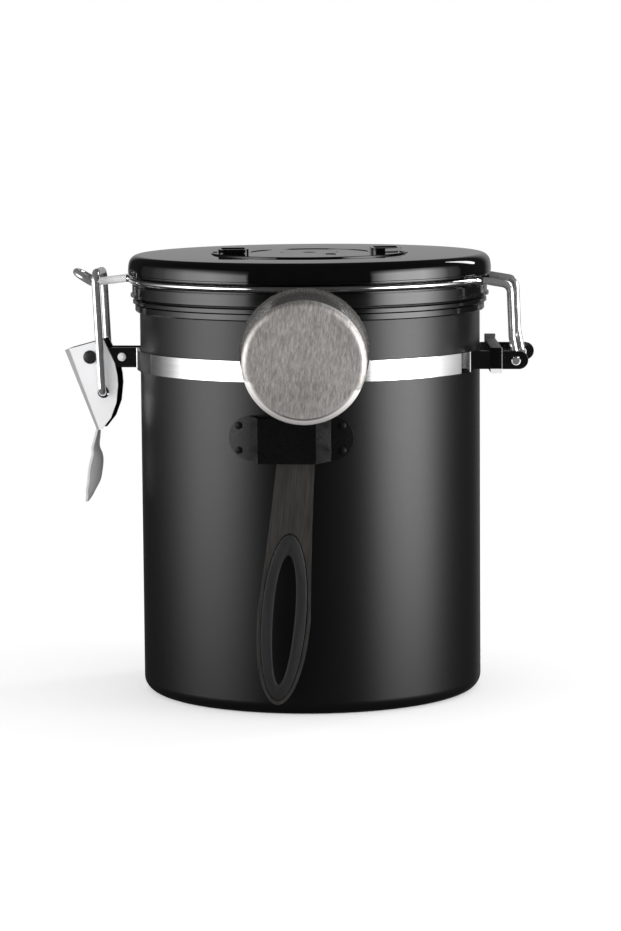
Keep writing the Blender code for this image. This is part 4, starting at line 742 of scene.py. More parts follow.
def lid_skirt_ring():
    """The lower lid ring: a neck in the shell, a ledge under the wire and a skirt round the cup's lip."""
    inner = PLUG_RADIUS + SEAT_GAP
    skirt = (SKIRT_INNER_RADIUS, WEB_TOP_Z - SKIRT_DEPTH, SKIRT_RADIUS, WEB_TOP_Z)
    neck = (NECK_RADIUS, WEB_TOP_Z + NECK_HEIGHT, NECK_RADIUS - NECK_WALL, WEB_TOP_Z)
    ring = turned("lid_skirt_ring", stepped(inner, WEB_BOTTOM_Z, *skirt, *neck, inner))
    half = degrees(WINDOW_HALF_ANGLE)
    for name, middle in (("hinge_window", 0), ("latch_window", 180)):
        outside = arc((0, 0), SKIRT_RADIUS + CUT_OVERRUN, middle - half, middle + half, 2 * CORNER_STEPS)
        inside = arc((0, 0), SKIRT_RADIUS - WINDOW_DEPTH, middle + half, middle - half, 2 * CORNER_STEPS)
        cut(ring, name, outside + inside, WEB_TOP_Z - WINDOW_HEIGHT, WEB_TOP_Z + CUT_OVERRUN, "Z")
    return ring


def lid_gasket():
    edge = GASKET_THICKNESS / 4
    outline = [
        (GASKET_INNER_RADIUS, GASKET_BOTTOM_Z + edge), (GASKET_INNER_RADIUS + edge, GASKET_BOTTOM_Z),
        (GASKET_RADIUS - edge, GASKET_BOTTOM_Z), (GASKET_RADIUS, GASKET_BOTTOM_Z + edge),
        (GASKET_RADIUS, GASKET_TOP_Z), (GASKET_INNER_RADIUS, GASKET_TOP_Z),
    ]
    return turned("lid_gasket", outline)


def lid_inner_plate():
    """The shallow steel dish that closes the lid from below, flanged over the skirt ring's web."""
    flange_bottom = WEB_TOP_Z + SEAT_GAP
    corner_r = PLUG_RADIUS - PLUG_CORNER_RADIUS
    corner_z = PLUG_BOTTOM_Z + PLUG_CORNER_RADIUS
    inner_corner = PLUG_CORNER_RADIUS - PLUG_WALL
    outline = [(VALVE_PORT_RADIUS, PLUG_BOTTOM_Z)]
    outline += arc((corner_r, corner_z), PLUG_CORNER_RADIUS, -90, 0)
    flange = (PLUG_RADIUS + PLUG_FLANGE, flange_bottom + PLUG_WALL, PLUG_RADIUS - PLUG_WALL)
    outline += stepped(PLUG_RADIUS, flange_bottom, *flange)
    outline += arc((corner_r, corner_z), inner_corner, 0, -90)
    outline.append((VALVE_PORT_RADIUS, PLUG_BOTTOM_Z + PLUG_WALL))
    return turned("lid_inner_plate", outline)


def valve_housing():
    bottom = PLUG_BOTTOM_Z + PLUG_WALL + SEAT_GAP
    top = RECESS_UNDERSIDE_Z - SEAT_GAP
    chamber = (VALVE_RADIUS - VALVE_WALL, bottom + VALVE_WALL, VALVE_SEAT_RADIUS)
    outline = stepped(VALVE_SEAT_RADIUS, bottom, VALVE_RADIUS, top, *chamber)
    return turned("valve_housing", outline, ROUND_STEPS // 2)


def valve_diaphragm():
    bottom = PLUG_BOTTOM_Z + PLUG_WALL + SEAT_GAP + VALVE_WALL + SEAT_GAP
    top = bottom + DIAPHRAGM_THICKNESS
    radius = VALVE_RADIUS - VALVE_WALL - SEAT_GAP
    outline = [(0, bottom), (radius, bottom), (radius, top), (radius / 2, top), (0, top + DIAPHRAGM_CROWN)]
    return turned("valve_diaphragm", outline, ROUND_STEPS // 2)


def valve_cap():
    """The fixed cap in the dial's middle: its stem runs down into the valve, its flange keeps the dial."""
    bottom = RECESS_UNDERSIDE_Z - CAP_STEM_REACH
    flange = (CAP_FLANGE_Z, CAP_FLANGE_RADIUS, CAP_TOP_Z)
    outline = stepped(CAP_VENT_RADIUS, bottom, CAP_STEM_RADIUS, *flange, CAP_VENT_RADIUS)
    return turned("valve_cap", outline, ROUND_STEPS // 2)


def finger_tab_block(name, angle):
    """A round-cornered block that stands on the dial, just inside its edge."""
    corner = TAB_CORNER_RADIUS
    x_high = DIAL_RADIUS - TAB_SETBACK - corner
    x_low = DIAL_RADIUS - TAB_SETBACK - TAB_LENGTH + corner
    y_high = TAB_WIDTH / 2 - corner
    outline = []
    middles = (x_high, y_high), (x_low, y_high), (x_low, -y_high), (x_high, -y_high)
    for quarter, middle in enumerate(middles):
        outline += arc(middle, corner, 90 * quarter, 90 * quarter + 90)
    return extruded(name, spun(outline, angle), SHELL_TOP_Z, DIAL_TOP_Z + TAB_PROUD, "Z")


def date_dial():
    """The turning disc: a ring for the numbers round a shallow centre, with a dished tab at each end."""
    inner = CAP_STEM_RADIUS + RUNNING_GAP
    counterbore = CAP_FLANGE_RADIUS + RUNNING_GAP
    outside = stepped(inner, DIAL_BOTTOM_Z, DIAL_RADIUS, DIAL_TOP_Z - DIAL_EDGE)
    centre = (DIAL_CENTRE_RADIUS, CAP_TOP_Z, counterbore, CAP_FLANGE_Z - RUNNING_GAP, inner)
    dial = turned("date_dial", outside + stepped(DIAL_RADIUS - DIAL_EDGE, DIAL_TOP_Z, *centre))
    middle = DIAL_RADIUS - TAB_SETBACK - TAB_LENGTH / 2
    half_x = TAB_LENGTH / 2 - TAB_DISH_RIM
    half_y = TAB_WIDTH / 2 - TAB_DISH_RIM
    dish = rectangle(middle - half_x, middle + half_x, -half_y, half_y)
    floor_z = DIAL_TOP_Z + TAB_PROUD - TAB_DISH_DEPTH
    for name, turn in (("right_tab", DIAL_TURN), ("left_tab", DIAL_TURN + pi)):
        boolean(dial, finger_tab_block(name, turn), "UNION")
        cut(dial, name + "_dish", spun(dish, turn), floor_z, floor_z + CUT_OVERRUN, "Z")
    return dial


def cheek_outline():
    """The side of the lever about its pivot: a straight back, a short top and a round belly."""
    right = []
    for down, out in LEVER_CHEEK_SHARES:
        right.append((LEVER_BELLY * out, LEVER_HORN_RISE - (LEVER_HORN_RISE + LEVER_DEPTH) * down))
    toe = [(LEVER_TOE_RIGHT, -LEVER_DEPTH), (LEVER_TOE_LEFT, -LEVER_DEPTH)]
    return right + toe + [(-LEVER_TOP_REACH, LEVER_TOP_RISE)]


def finger_tab_mesh(name):
    """The dished, leaf-shaped thumb tab, drawn about the lever's pivot."""
    bm = bmesh.new()
    layers = []
    for shift in (0, LEVER_SHEET):
        rows = []
        for i in range(FINGER_STEPS + 1):
            t = i / FINGER_STEPS
            x = FINGER_X - FINGER_SWEEP * blended(FINGER_SWEEP_SHARES, t) + shift
            z = -LEVER_DEPTH + FINGER_OVERLAP - FINGER_LENGTH * t
            half = FINGER_HALF_WIDTH * blended(FINGER_WIDTH_SHARES, t)
            dish = FINGER_DISH * blended(FINGER_DISH_SHARES, t)
            row = []
            for j in range(FINGER_ACROSS_STEPS + 1):
                u = 2 * j / FINGER_ACROSS_STEPS - 1
                row.append(bm.verts.new((x - dish * u * u, half * u, z)))
            rows.append(row)
        layers.append(rows)
    low, high = layers
    for i in range(FINGER_STEPS):
        for j in range(FINGER_ACROSS_STEPS):
            for rows in layers:
                bm.faces.new((rows[i][j], rows[i][j + 1], rows[i + 1][j + 1], rows[i + 1][j]))
        for j in (0, FINGER_ACROSS_STEPS):
            bm.faces.new((low[i][j], low[i + 1][j], high[i + 1][j], high[i][j]))
    for i in (0, FINGER_STEPS):
        for j in range(FINGER_ACROSS_STEPS):
            bm.faces.new((low[i][j], low[i][j + 1], high[i][j + 1], high[i][j]))
    return mesh_object(name, bm)


def lever_back():
    """The lever's straight back about its pivot: its two ends, its direction and the way into the lever."""
    top = Vector((-LEVER_TOP_REACH, LEVER_TOP_RISE))
    toe = Vector((LEVER_TOE_LEFT, -LEVER_DEPTH))
    along = (toe - top).normalized()
    return top, toe, along, Vector((-along.y, along.x))


def latch_lever():
    """The folded lever: two cheeks and a back web, with the thumb tab below and holes for pivot and link."""
    lever = extruded("latch_lever", cheek_outline(), -LEVER_OUTER_HALF, LEVER_OUTER_HALF, "Y")
    lever.location = PIVOT_POINT
    top, toe, along, inward = lever_back()
    start = top + inward * LEVER_SHEET - along * LEVER_DEPTH
    end = toe + inward * LEVER_SHEET + along * LEVER_DEPTH
    across = inward * 2 * LEVER_DEPTH
    trough = [start, end, end + across, start + across]
    cut(lever, "lever_trough", trough, -LEVER_INNER_HALF, LEVER_INNER_HALF, "Y")
    boolean(lever, finger_tab_mesh("lever_thumb_tab"), "UNION")
    drill(lever, "lever_pivot_hole", Vector(), PIVOT_RADIUS + RUNNING_GAP, 2 * LEVER_OUTER_HALF)
    link_hole = Vector((LINK_PIVOT_DX, 0, -LINK_PIVOT_DROP))
    drill(lever, "lever_link_hole", link_hole, LINK_HOLE_RADIUS, 2 * LEVER_OUTER_HALF)
    return lever


def latch_link():
    """The wire link, drawn about its pivot in the lever, with both ends turned in through the cheeks."""
    top = Vector((-LINK_LEAN, 0, LINK_LENGTH))
    near = Vector((0, -LINK_HALF_SPACING, 0))
    pin = Vector((0, -LINK_PIN_END, 0))
    half = [(pin, 0), (near, LINK_PIN_BEND), (top + near, LINK_TOP_BEND)]
    other = [(top - near, LINK_TOP_BEND), (-near, LINK_PIN_BEND), (-pin, 0)]
    link = wire("latch_link", bent(half + other), LINK_WIRE_RADIUS)
    link.location = LINK_POINT
    return link


def scoop_bracket():
    """A folded hat section: round ears on the cup, and a pocket in front that takes the scoop's handle."""
    middle_r = BODY_RADIUS + SEAT_GAP + BRACKET_SHEET / 2
    ear_angle = asin(BRACKET_WIDTH / 2 / middle_r)
    base_angle = asin(BRACKET_BASE_HALF / middle_r)
    front_y = -(BODY_RADIUS + BRACKET_STAND_OFF - BRACKET_SHEET / 2)
    front_x = BRACKET_FRONT_HALF - BRACKET_SHEET / 2
    left_ear = band_arc(middle_r, -pi / 2 - ear_angle, -pi / 2 - base_angle, CORNER_STEPS)
    right_ear = band_arc(middle_r, -pi / 2 + base_angle, -pi / 2 + ear_angle, CORNER_STEPS)
    path = left_ear + [(-front_x, front_y), (front_x, front_y)] + right_ear
    outline = strip_outline(path, BRACKET_SHEET)
    low = BRACKET_MIDDLE_Z - BRACKET_HEIGHT / 2
    high = BRACKET_TOP_Z
    bracket = extruded("scoop_bracket", outline, low, high, "Z")
    ends = stadium(-BRACKET_WIDTH / 2, BRACKET_WIDTH / 2, low, high)
    near = -(BODY_RADIUS + BRACKET_STAND_OFF + CUT_OVERRUN)
    boolean(bracket, extruded("bracket_ends", ends, near, 0, "Y"), "INTERSECT")
    drilled = rectangle(0, BRACKET_RIVET_RADIUS + SEAT_GAP, 0, CUT_OVERRUN)
    for number, place in enumerate(bracket_rivet_places()):
        hole = turned(f"bracket_hole_{number}", drilled, SMALL_STEPS)
        hole.matrix_world = place @ Matrix.Translation((0, 0, -CUT_OVERRUN / 2))
        boolean(bracket, hole, "DIFFERENCE")
    return bracket


def bracket_rivet_places():
    """Frames on the ears' outer face, with Z pointing out of the cup."""
    surface_r = BODY_RADIUS + SEAT_GAP + BRACKET_SHEET
    rivet_angle = asin(BRACKET_RIVET_X / surface_r)
    places = []
    for side in (-1, 1):
        for level in (-1, 1):
            angle = side * rivet_angle
            point = Vector((sin(angle), -cos(angle), 0)) * surface_r
            point.z = BRACKET_MIDDLE_Z + level * BRACKET_RIVET_SPACING / 2
            turn = Matrix.Rotation(angle, 4, "Z") @ Matrix.Rotation(pi / 2, 4, "X")
            places.append(Matrix.Translation(point) @ turn)
    return places


def bracket_rivet(name, place):
    shank = stepped(0, -BRACKET_SHEET, BRACKET_RIVET_RADIUS, SEAT_GAP)
    head = domed_head(BRACKET_RIVET_HEAD_RADIUS, BRACKET_RIVET_HEAD_HEIGHT, SEAT_GAP)
    rivet = turned(name, shank + head, SMALL_STEPS // 2)
    rivet.matrix_world = place
    return rivet


def scoop_bowl():
    """The bowl: its open mouth lies against the canister and its closed floor faces the front."""
    floor_r = BOWL_FLOOR_RADIUS - BOWL_CORNER_RADIUS
    floor_z = BOWL_DEPTH - BOWL_CORNER_RADIUS
    inner_corner = BOWL_CORNER_RADIUS - BOWL_SHEET
    outside = [(0, BOWL_DEPTH)] + arc((floor_r, floor_z), BOWL_CORNER_RADIUS, 90, 0)
    lip = stepped(BOWL_WALL_RADIUS, BOWL_LIP_THICKNESS, BOWL_MOUTH_RADIUS, 0, BOWL_WALL_RADIUS - BOWL_SHEET)
    inside = arc((floor_r, floor_z), inner_corner, 0, 90) + [(0, BOWL_DEPTH - BOWL_SHEET)]
    bowl = turned("scoop_bowl", outside + lip + inside, BOWL_STEPS)
    bowl.rotation_euler = (pi / 2 + BOWL_DROOP, 0, 0)
    drop = BOWL_MOUTH_RADIUS * (1 - cos(BOWL_DROOP))
    bowl.location = (0, -BOWL_MOUTH_RADIUS * sin(BOWL_DROOP), -drop)
    return bowl


def handle_half_width(at):
    """Half the handle's width at a distance below the bowl's centre."""
    if at <= HANDLE_NECK_END:
        return HANDLE_NECK_HALF
    if at <= HANDLE_WIDEST_AT:
        t = (at - HANDLE_NECK_END) / (HANDLE_WIDEST_AT - HANDLE_NECK_END)
        return HANDLE_NECK_HALF + (HANDLE_HALF_WIDTH - HANDLE_NECK_HALF) * t**HANDLE_TAPER_POWER
    t = (at - HANDLE_WIDEST_AT) / (HANDLE_LENGTH - HANDLE_WIDEST_AT)
    return HANDLE_HALF_WIDTH * sqrt(max(1 - t * t, 0))


def scoop_handle():
    """A flat steel handle that widens to a round end, with an opening that the grip fills."""
    top = BOWL_MOUTH_RADIUS - CUT_OVERRUN
    right = []
    for i in range(HANDLE_STEPS + 1):
        at = top + (HANDLE_WIDEST_AT - top) * i / HANDLE_STEPS
        right.append((handle_half_width(at), -at))
    for i in range(1, EGG_STEPS):
        angle = pi / 2 * i / EGG_STEPS
        at = HANDLE_WIDEST_AT + (HANDLE_LENGTH - HANDLE_WIDEST_AT) * sin(angle)
        right.append((handle_half_width(at), -at))
    left = [(-x, z) for x, z in right[::-1]]
    outline = right + [(0, -HANDLE_LENGTH)] + left
    handle = extruded("scoop_handle", outline, -HANDLE_THICKNESS, 0, "Y")
    opening = egg(HANDLE_HALF_WIDTH - GRIP_RIM, GRIP_TOP_AT, HANDLE_WIDEST_AT, GRIP_BOTTOM_AT)
    saddle = arc((0, 0), BOWL_MOUTH_RADIUS + SEAT_GAP, 0, 360, BOWL_STEPS)[:-1]
    for name, hole in (("handle_opening", opening), ("bowl_saddle", saddle)):
        cut(handle, name, hole, -HANDLE_THICKNESS - CUT_OVERRUN, CUT_OVERRUN, "Y")
    return handle


def scoop_grip():
    """A soft oval ring in the handle's opening, a little thicker than the steel, round a finger slot."""
    half = HANDLE_HALF_WIDTH - GRIP_RIM - SEAT_GAP
    outer = egg(half, GRIP_TOP_AT + SEAT_GAP, HANDLE_WIDEST_AT, GRIP_BOTTOM_AT - SEAT_GAP)
    slot = egg(SLOT_HALF_WIDTH, SLOT_TOP_AT, SLOT_WIDEST_AT, SLOT_BOTTOM_AT)
    near = -HANDLE_THICKNESS / 2 - GRIP_THICKNESS / 2
    far = -HANDLE_THICKNESS / 2 + GRIP_THICKNESS / 2
    grip = extruded("scoop_grip", outer, near, far, "Y")
    cut(grip, "finger_slot", slot, near - CUT_OVERRUN, far + CUT_OVERRUN, "Y")
    return beveled(grip, GRIP_EDGE)


# Camera, in metres and radians, as the photograph was taken
CAMERA_DISTANCE = 1.20763
CAMERA_HEIGHT = 0.22271
CAMERA_AZIMUTH = radians(6.7)
CAMERA_YAW = 0.00016
CAMERA_PITCH = 0.11854
CAMERA_ROLL = 0.00815
CAMERA_LENS = 132.294
CAMERA_SENSOR = 36.0

# Trimmings that the solids leave out, and a strip of painted shade along the lever's bend
LEVER_BEND_WIDTH = 1.5 * MM
LEVER_BEND_PROUD = 0.08 * MM
KEEPER_FOOT_HEIGHT = 1.5 * MM
WEDGE_MARGIN = 0.25 * MM
RIGHT_WEDGE_START_SHARE = 0.43
RIGHT_WEDGE_RISE = 2.2 * MM
LEFT_WEDGE_MARGIN_SHARE = 0.12
LEFT_WEDGE_RISE = 1.6 * MM
MARK_RADIUS = 0.8 * MM
MARK_HEIGHT = 0.2 * MM
RIGHT_DOT_ANGLE = radians(-4.7)
LEFT_DOT_ANGLE = radians(185.9)
POINTER_TURN = radians(-57)
POINTER_LENGTH = 5.0 * MM
POINTER_HALF_WIDTH = 1.5 * MM

# Faces with a colour of their own, most of it painted light or shade. A facing is the least part of a face's
# normal along an axis.
BAND_EDGE_SHADE = 0.35 * MM
BAND_LEFT_END_SHARE = 0.865
BAND_SOFT_START_SHARE = 0.8
BAND_RIGHT_END_SHARE = 0.925
FOLD_SHARE = 0.55
FOLD_FACING = 0.6
CHEEK_FACING = 0.8
LOW_CORNER_SHARE = 0.35
LOW_CORNER_FACING = 0.2
FLOOR_EDGE_FACING = 0.97
FLOOR_FACING = 0.9999

# The scoop's low corner, painted as a light ring that is darkest below: its height in shares of the bowl's
# radius, and how light its painted top and its clouds are
CORNER_BOTTOM_SHARE = 0.85
CORNER_TOP_SHARE = 0.3
CORNER_TOP_LIGHT = 0.8
CORNER_CLOUD_LIGHT = 0.1

# Lamp: a small upright light behind on the right, seen in the lid's rim
LAMP_PLACE = Vector((0.609, 0.571, 0.535))
LAMP_WIDTH = 0.18
LAMP_HEIGHT = 0.5
LAMP_RADIANCE = 9.0

# Soft boxes: upright lights on two sides. A row of a fade is a place and the share of the radiance
# there: the first table counts degrees round the object from the front, the second metres of height.
LEFT_RADIANCE = 5.6
LEFT_ROUND_SHARES = (
    (-31, 0.0), (-33, 0.5), (-39, 0.62), (-47, 0.85), (-56, 1.0), (-65, 0.87),
    (-75, 0.7), (-85, 0.34), (-96, 0.12), (-110, 0.03), (-124, 0.008),
)
LEFT_HEIGHT_SHARES = (
    (-0.15, 1.0), (0.26, 1.0), (0.33, 0.87), (0.385, 0.64),
    (0.43, 0.37), (0.49, 0.2), (0.6, 0.08), (0.75, 0.03),
)
RIGHT_RADIANCE = 8.6
RIGHT_ROUND_SHARES = (
    (44, 0.0), (46.7, 0.24), (55, 0.77), (63, 1.0), (81, 1.0), (92, 0.5), (102, 0.1), (115, 0.01),
)
RIGHT_HEIGHT_SHARES = ((-0.15, 1.0), (0.33, 1.0), (0.42, 0.5), (0.5, 0.2), (0.6, 0.05))
BOX_DISTANCE = 1.05

# World: white to the camera, and in reflections a narrow pale wall at the back in the dark
WHITE = 1.0
AMBIENT = 1.0
BACK_REFLECTION = 0.36
BACK_START = 0.88
BACK_END = 0.99
BACK_TOP = 0.75
BACK_TOP_FADE = 0.35
DARK_REFLECTION = 0.03

# Floor: it catches the shadow and fades out
FLOOR_SIZE = 1.2
FLOOR_ALPHA = 0.55
FLOOR_FADE_START = 0.3
FLOOR_FADE_END = 0.8
FLOOR_WHITE = 0.9

# Most of a noise's values lie between these
NOISE_LOW = 0.3
NOISE_HIGH = 0.7


class Nodes:
    """A short way to write the nodes of a material, a light or the world."""

    def __init__(self, owner):
        owner.use_nodes = True
        self.tree = owner.node_tree
        self.shader = self.tree.nodes.get("Principled BSDF")

    def put(self, value, target):
        if isinstance(value, bpy.types.NodeSocket):
            self.tree.links.new(value, target)
        else:
            target.default_value = value

    def add(self, kind, inputs=(), **settings):
        """A new node, with a value or another node's output for each named or numbered input."""
        node = self.tree.nodes.new(kind)
        for key, value in settings.items():
            setattr(node, key, value)
        for socket, value in dict(inputs).items():
            self.put(value, node.inputs[socket])
        return node

    def number(self, operation, *values):
        return self.add("ShaderNodeMath", enumerate(values), operation=operation).outputs[0]

    def place(self, kind="Object"):
        return self.add("ShaderNodeTexCoord").outputs[kind]

    def axes(self, vector):
        return self.add("ShaderNodeSeparateXYZ", {0: vector}).outputs

    def stretched(self, scale, place):
        return self.add("ShaderNodeMapping", {"Vector": place, "Scale": scale}).outputs["Vector"]

    def noise(self, vector, scale, detail, rough=0.5):
        inputs = {"Vector": vector, "Scale": scale, "Detail": detail, "Roughness": rough}
        return self.add("ShaderNodeTexNoise", inputs).outputs["Fac"]

    def span(self, value, low, high, from_low=NOISE_LOW, from_high=NOISE_HIGH, **settings):
        """The value's place between from_low and from_high, laid between low and high."""
        inputs = {"Value": value, "From Min": from_low, "From Max": from_high, "To Min": low, "To Max": high}
        return self.add("ShaderNodeMapRange", inputs, **settings).outputs["Result"]

    def mix(self, factor, first, second):
        inputs = {"Factor": factor, 6: (*first, 1), 7: (*second, 1)}
        return self.add("ShaderNodeMix", inputs, data_type="RGBA").outputs[2]

    def finish(self, colour, roughness, height, strength, distance):
        """The shader's colour, roughness and bump."""
        bump = self.add("ShaderNodeBump", {"Height": height, "Strength": strength, "Distance": distance})
        self.put(colour, self.shader.inputs["Base Color"])
        self.put(roughness, self.shader.inputs["Roughness"])
        self.put(bump.outputs["Normal"], self.shader.inputs["Normal"])


def surface(name, metallic=0.0, specular=0.5):
    """A new material and its nodes."""
    material = bpy.data.materials.new(name)
    nodes = Nodes(material)
    nodes.put(metallic, nodes.shader.inputs["Metallic"])
    nodes.put(specular, nodes.shader.inputs["Specular IOR Level"])
    return material, nodes


def coated(name, dark, light, rough, cloud, grain, bump, stretch=None, bump_cloud=False, **shine):
    """A finish with clouds in its colour and grain in its roughness, and a bump from one of the two.

    The cloud and the grain are each a noise's scale and detail. The stretch scales the grain by axis.
    """
    material, n = surface(name, **shine)
    place = n.place()
    clouds = n.noise(place, *cloud)
    grains = n.noise(n.stretched(stretch, place) if stretch else place, *grain)
    height = clouds if bump_cloud else grains
    n.finish(n.mix(clouds, dark, light), n.span(grains, *rough), height, *bump)
    return material


def satin_black():
    """Powdery black paint with a soft sheen."""
    colours = (0.0012, 0.0012, 0.0013), (0.0022, 0.0022, 0.0024)
    noises = (30.0, 3.0), (2600.0, 2.0)
    return coated("satin_black_paint", *colours, (0.3, 0.38), *noises, (0.12, 0.00005), specular=0.4)


def gloss_black():
    """Polished black plastic with a trace of orange peel and hairline rub marks."""
    colours = (0.0012, 0.0012, 0.0014), (0.002, 0.002, 0.0023)
    noises = (240.0, 1.0), (900.0, 2.0)
    rub = {"stretch": (1, 0.05, 1), "bump_cloud": True}
    return coated("gloss_black_plastic", *colours, (0.02, 0.05), *noises, (0.01, 0.00005), **rub)


def semi_gloss_black():
    """The collar's and the skirt's moulded plastic, smooth with a soft reflection."""
    colours = (0.0016, 0.0016, 0.0018), (0.0028, 0.0028, 0.003)
    noises = (60.0, 2.0), (20.0, 2.0)
    flow = {"stretch": (1, 1, 30), "bump_cloud": True, "specular": 0.45}
    return coated("black_collar_plastic", *colours, (0.14, 0.2), *noises, (0.02, 0.0001), **flow)


def satin_plastic(name, dark, light, rough, specular=0.5):
    """Moulded plastic or rubber with a fine grain."""
    return coated(name, dark, light, rough, (60.0, 2.0), (1500.0, 2.0), (0.02, 0.00002), specular=specular)


def polished(name, dark, light, rough, metallic):
    """Bright plated metal with faint drawing marks and small variation in polish."""
    return coated(name, dark, light, rough, (120.0, 3.0), (1800.0, 2.0), (0.04, 0.00002), metallic=metallic)


def plated_sheet(name, dark, light, metallic):
    """Zinc-plated sheet with a faintly cloudy face and fine rolling marks."""
    rolling = {"stretch": (1500, 1500, 200), "metallic": metallic}
    return coated(name, dark, light, (0.3, 0.4), (60.0, 3.0), (1.0, 3.0), (0.03, 0.00001), **rolling)


def brushed(name, dark, light, rough, scale):
    """Metal with fine parallel grain: the scale stretches the noise along the grain."""
    material, n = surface(name, metallic=1.0)
    place = n.place()
    grain = n.noise(n.stretched(scale, place), 1.0, 4.0, 0.65)
    cloud = n.noise(place, 45.0, 2.0)
    streak = n.number("ADD", n.number("MULTIPLY", grain, 0.75), n.number("MULTIPLY", cloud, 0.25))
    colour = n.mix(n.span(streak, 0.0, 1.0, 0.35, 0.65), dark, light)
    n.finish(colour, n.span(grain, *rough), grain, 0.35, 0.00002)
    return material


def low_corner(name, dark, light):
    """Painted light and shade for the bowl's lower corner: darkest below and paler towards the ends, where
    the light boxes' own reflection takes over.
    """
    material, n = surface(name, metallic=0.2)
    place = n.place()
    bottom = -BOWL_WALL_RADIUS * CORNER_BOTTOM_SHARE
    rise = n.span(n.axes(place)["Y"], 0.0, CORNER_TOP_LIGHT, bottom, -BOWL_WALL_RADIUS * CORNER_TOP_SHARE)
    cloud = n.number("MULTIPLY", n.noise(place, 60.0, 3.0), CORNER_CLOUD_LIGHT)
    grain = n.noise(place, 1500.0, 2.0)
    n.finish(n.mix(n.number("ADD", rise, cloud), dark, light), n.span(grain, 0.3, 0.4), grain, 0.03, 0.00001)
    return material


def around_grain(name, dark, light, rough, radial_scale, height_scale):
    """Metal brushed round the canister's axis."""
    material, n = surface(name, metallic=1.0)
    axes = n.axes(n.place())
    around = n.number("MULTIPLY", n.number("ARCTAN2", axes["Y"], axes["X"]), radial_scale)
    above = n.number("MULTIPLY", axes["Z"], height_scale)
    join = n.add("ShaderNodeCombineXYZ", {"X": around, "Y": above})
    grain = n.noise(join.outputs[0], 1.0, 4.0, 0.6)
    n.finish(n.mix(n.span(grain, 0.0, 1.0), dark, light), n.span(grain, *rough), grain, 0.3, 0.00002)
    return material


def settled(obj, material, body, slot, *nodes):
    """Applies a piece's modifiers, smooths it, and sets it on the body that moves it."""
    mesh = bpy.data.meshes.new_from_object(obj.evaluated_get(bpy.context.evaluated_depsgraph_get()))
    world = obj.matrix_world.copy()
    name = obj.name
    for gone in [*obj.children_recursive, obj]:
        bpy.data.objects.remove(gone, do_unlink=True)
    mesh.materials.clear()
    mesh.materials.append(material)
    mesh.shade_smooth()
    mesh.set_sharp_from_angle(angle=SMOOTH_ANGLE)
    piece = link_object("fine_" + name, mesh)
    piece.matrix_world = world
    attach(piece, body)
    if nodes:
        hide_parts(*nodes)
    return piece


def faced(piece, *finishes):
    """Gives the faces that a test picks a material of their own, here mostly painted light or shade. A later
    test wins.
    """
    for material, chosen in finishes:
        piece.data.materials.append(material)
        for face in piece.data.polygons:
            if chosen(face.center, face.normal):
                face.material_index = len(piece.data.materials) - 1


def round_axis(point):
    return hypot(point.x, point.y)


def on_arm(centre, _):
    bend = BAND_THICKNESS if centre.x < 0 else BAND_THICKNESS * FOLD_SHARE
    return round_axis(centre) > BAND_MIDDLE_RADIUS + bend


# A narrow strip along the band's top edge, painted dark as shade.
def band_top_edge(centre, normal):
    return centre.z > BAND_TOP_Z - BAND_EDGE_SHADE and not on_arm(centre, normal)


# The band's flat left end, painted as shade.
def band_left_end(centre, _):
    flat = round_axis(centre) < BAND_MIDDLE_RADIUS + BAND_THICKNESS * FOLD_SHARE
    return flat and centre.y < 0 and centre.x < -BODY_RADIUS * BAND_LEFT_END_SHARE


# The stretch of band before its right end, painted as half shade.
def band_soft_end(centre, _):
    return centre.y < 0 and BAND_SOFT_START_SHARE < centre.x / BODY_RADIUS < BAND_RIGHT_END_SHARE


# The band's right end, painted as shade.
def band_right_end(centre, _):
    return centre.y < 0 and centre.x > BODY_RADIUS * BAND_RIGHT_END_SHARE


def keeper_fold(_, normal):
    return normal.x > FOLD_FACING or normal.z < -FOLD_FACING


def keeper_back(centre, normal):
    turned_up = normal.z > FOLD_FACING or (normal.y < -FOLD_FACING and centre.y > 0)
    return turned_up and centre.z > HINGE_ARM_HEIGHT / 2


def on_ring(centre, _):
    return abs(round_axis(centre) - BAIL_RING_RADIUS) < 2 * BAIL_WIRE_RADIUS


def on_catch(centre, _):
    return CATCH_KNEE_X < centre.x < -BAIL_RING_RADIUS


def on_bowl_wall(centre, _):
    outside = round_axis(centre) > BOWL_WALL_RADIUS - BOWL_SHEET / 2
    return outside and centre.z < BOWL_DEPTH - BOWL_CORNER_RADIUS


def low_on_bowl(centre):
    return centre.y < -BOWL_WALL_RADIUS * LOW_CORNER_SHARE


# Faces of the bowl's lower corner, for the painted highlight.
def on_low_corner(centre, normal):
    return low_on_bowl(centre) and LOW_CORNER_FACING < normal.z < FLOOR_EDGE_FACING


# The floor faces at the lower corner's edge, for the painted shade.
def on_floor_edge(centre, normal):
    return low_on_bowl(centre) and FLOOR_EDGE_FACING < normal.z < FLOOR_FACING


# The cheeks' inner faces, which get the painted shade.
def inside_lever(centre, normal):
    return abs(normal.y) > CHEEK_FACING and normal.y * centre.y < 0


# The thumb tab's faces, which get the greyer painted shade.
def on_tab(centre, _):
    return centre.z < -LEVER_DEPTH + FINGER_OVERLAP / 2


def lever_bend():
    """A thin strip laid on the front cheek along the rounded bend of the lever's back, coloured darker:
    painted shade.
    """
    top, toe, _, inward = lever_back()
    inward *= LEVER_BEND_WIDTH
    outline = [top, toe, toe + inward / 2, top + inward]
    bend = extruded("lever_bend", outline, -LEVER_OUTER_HALF - LEVER_BEND_PROUD, -LEVER_OUTER_HALF, "Y")
    bend.location = PIVOT_POINT
    return bend


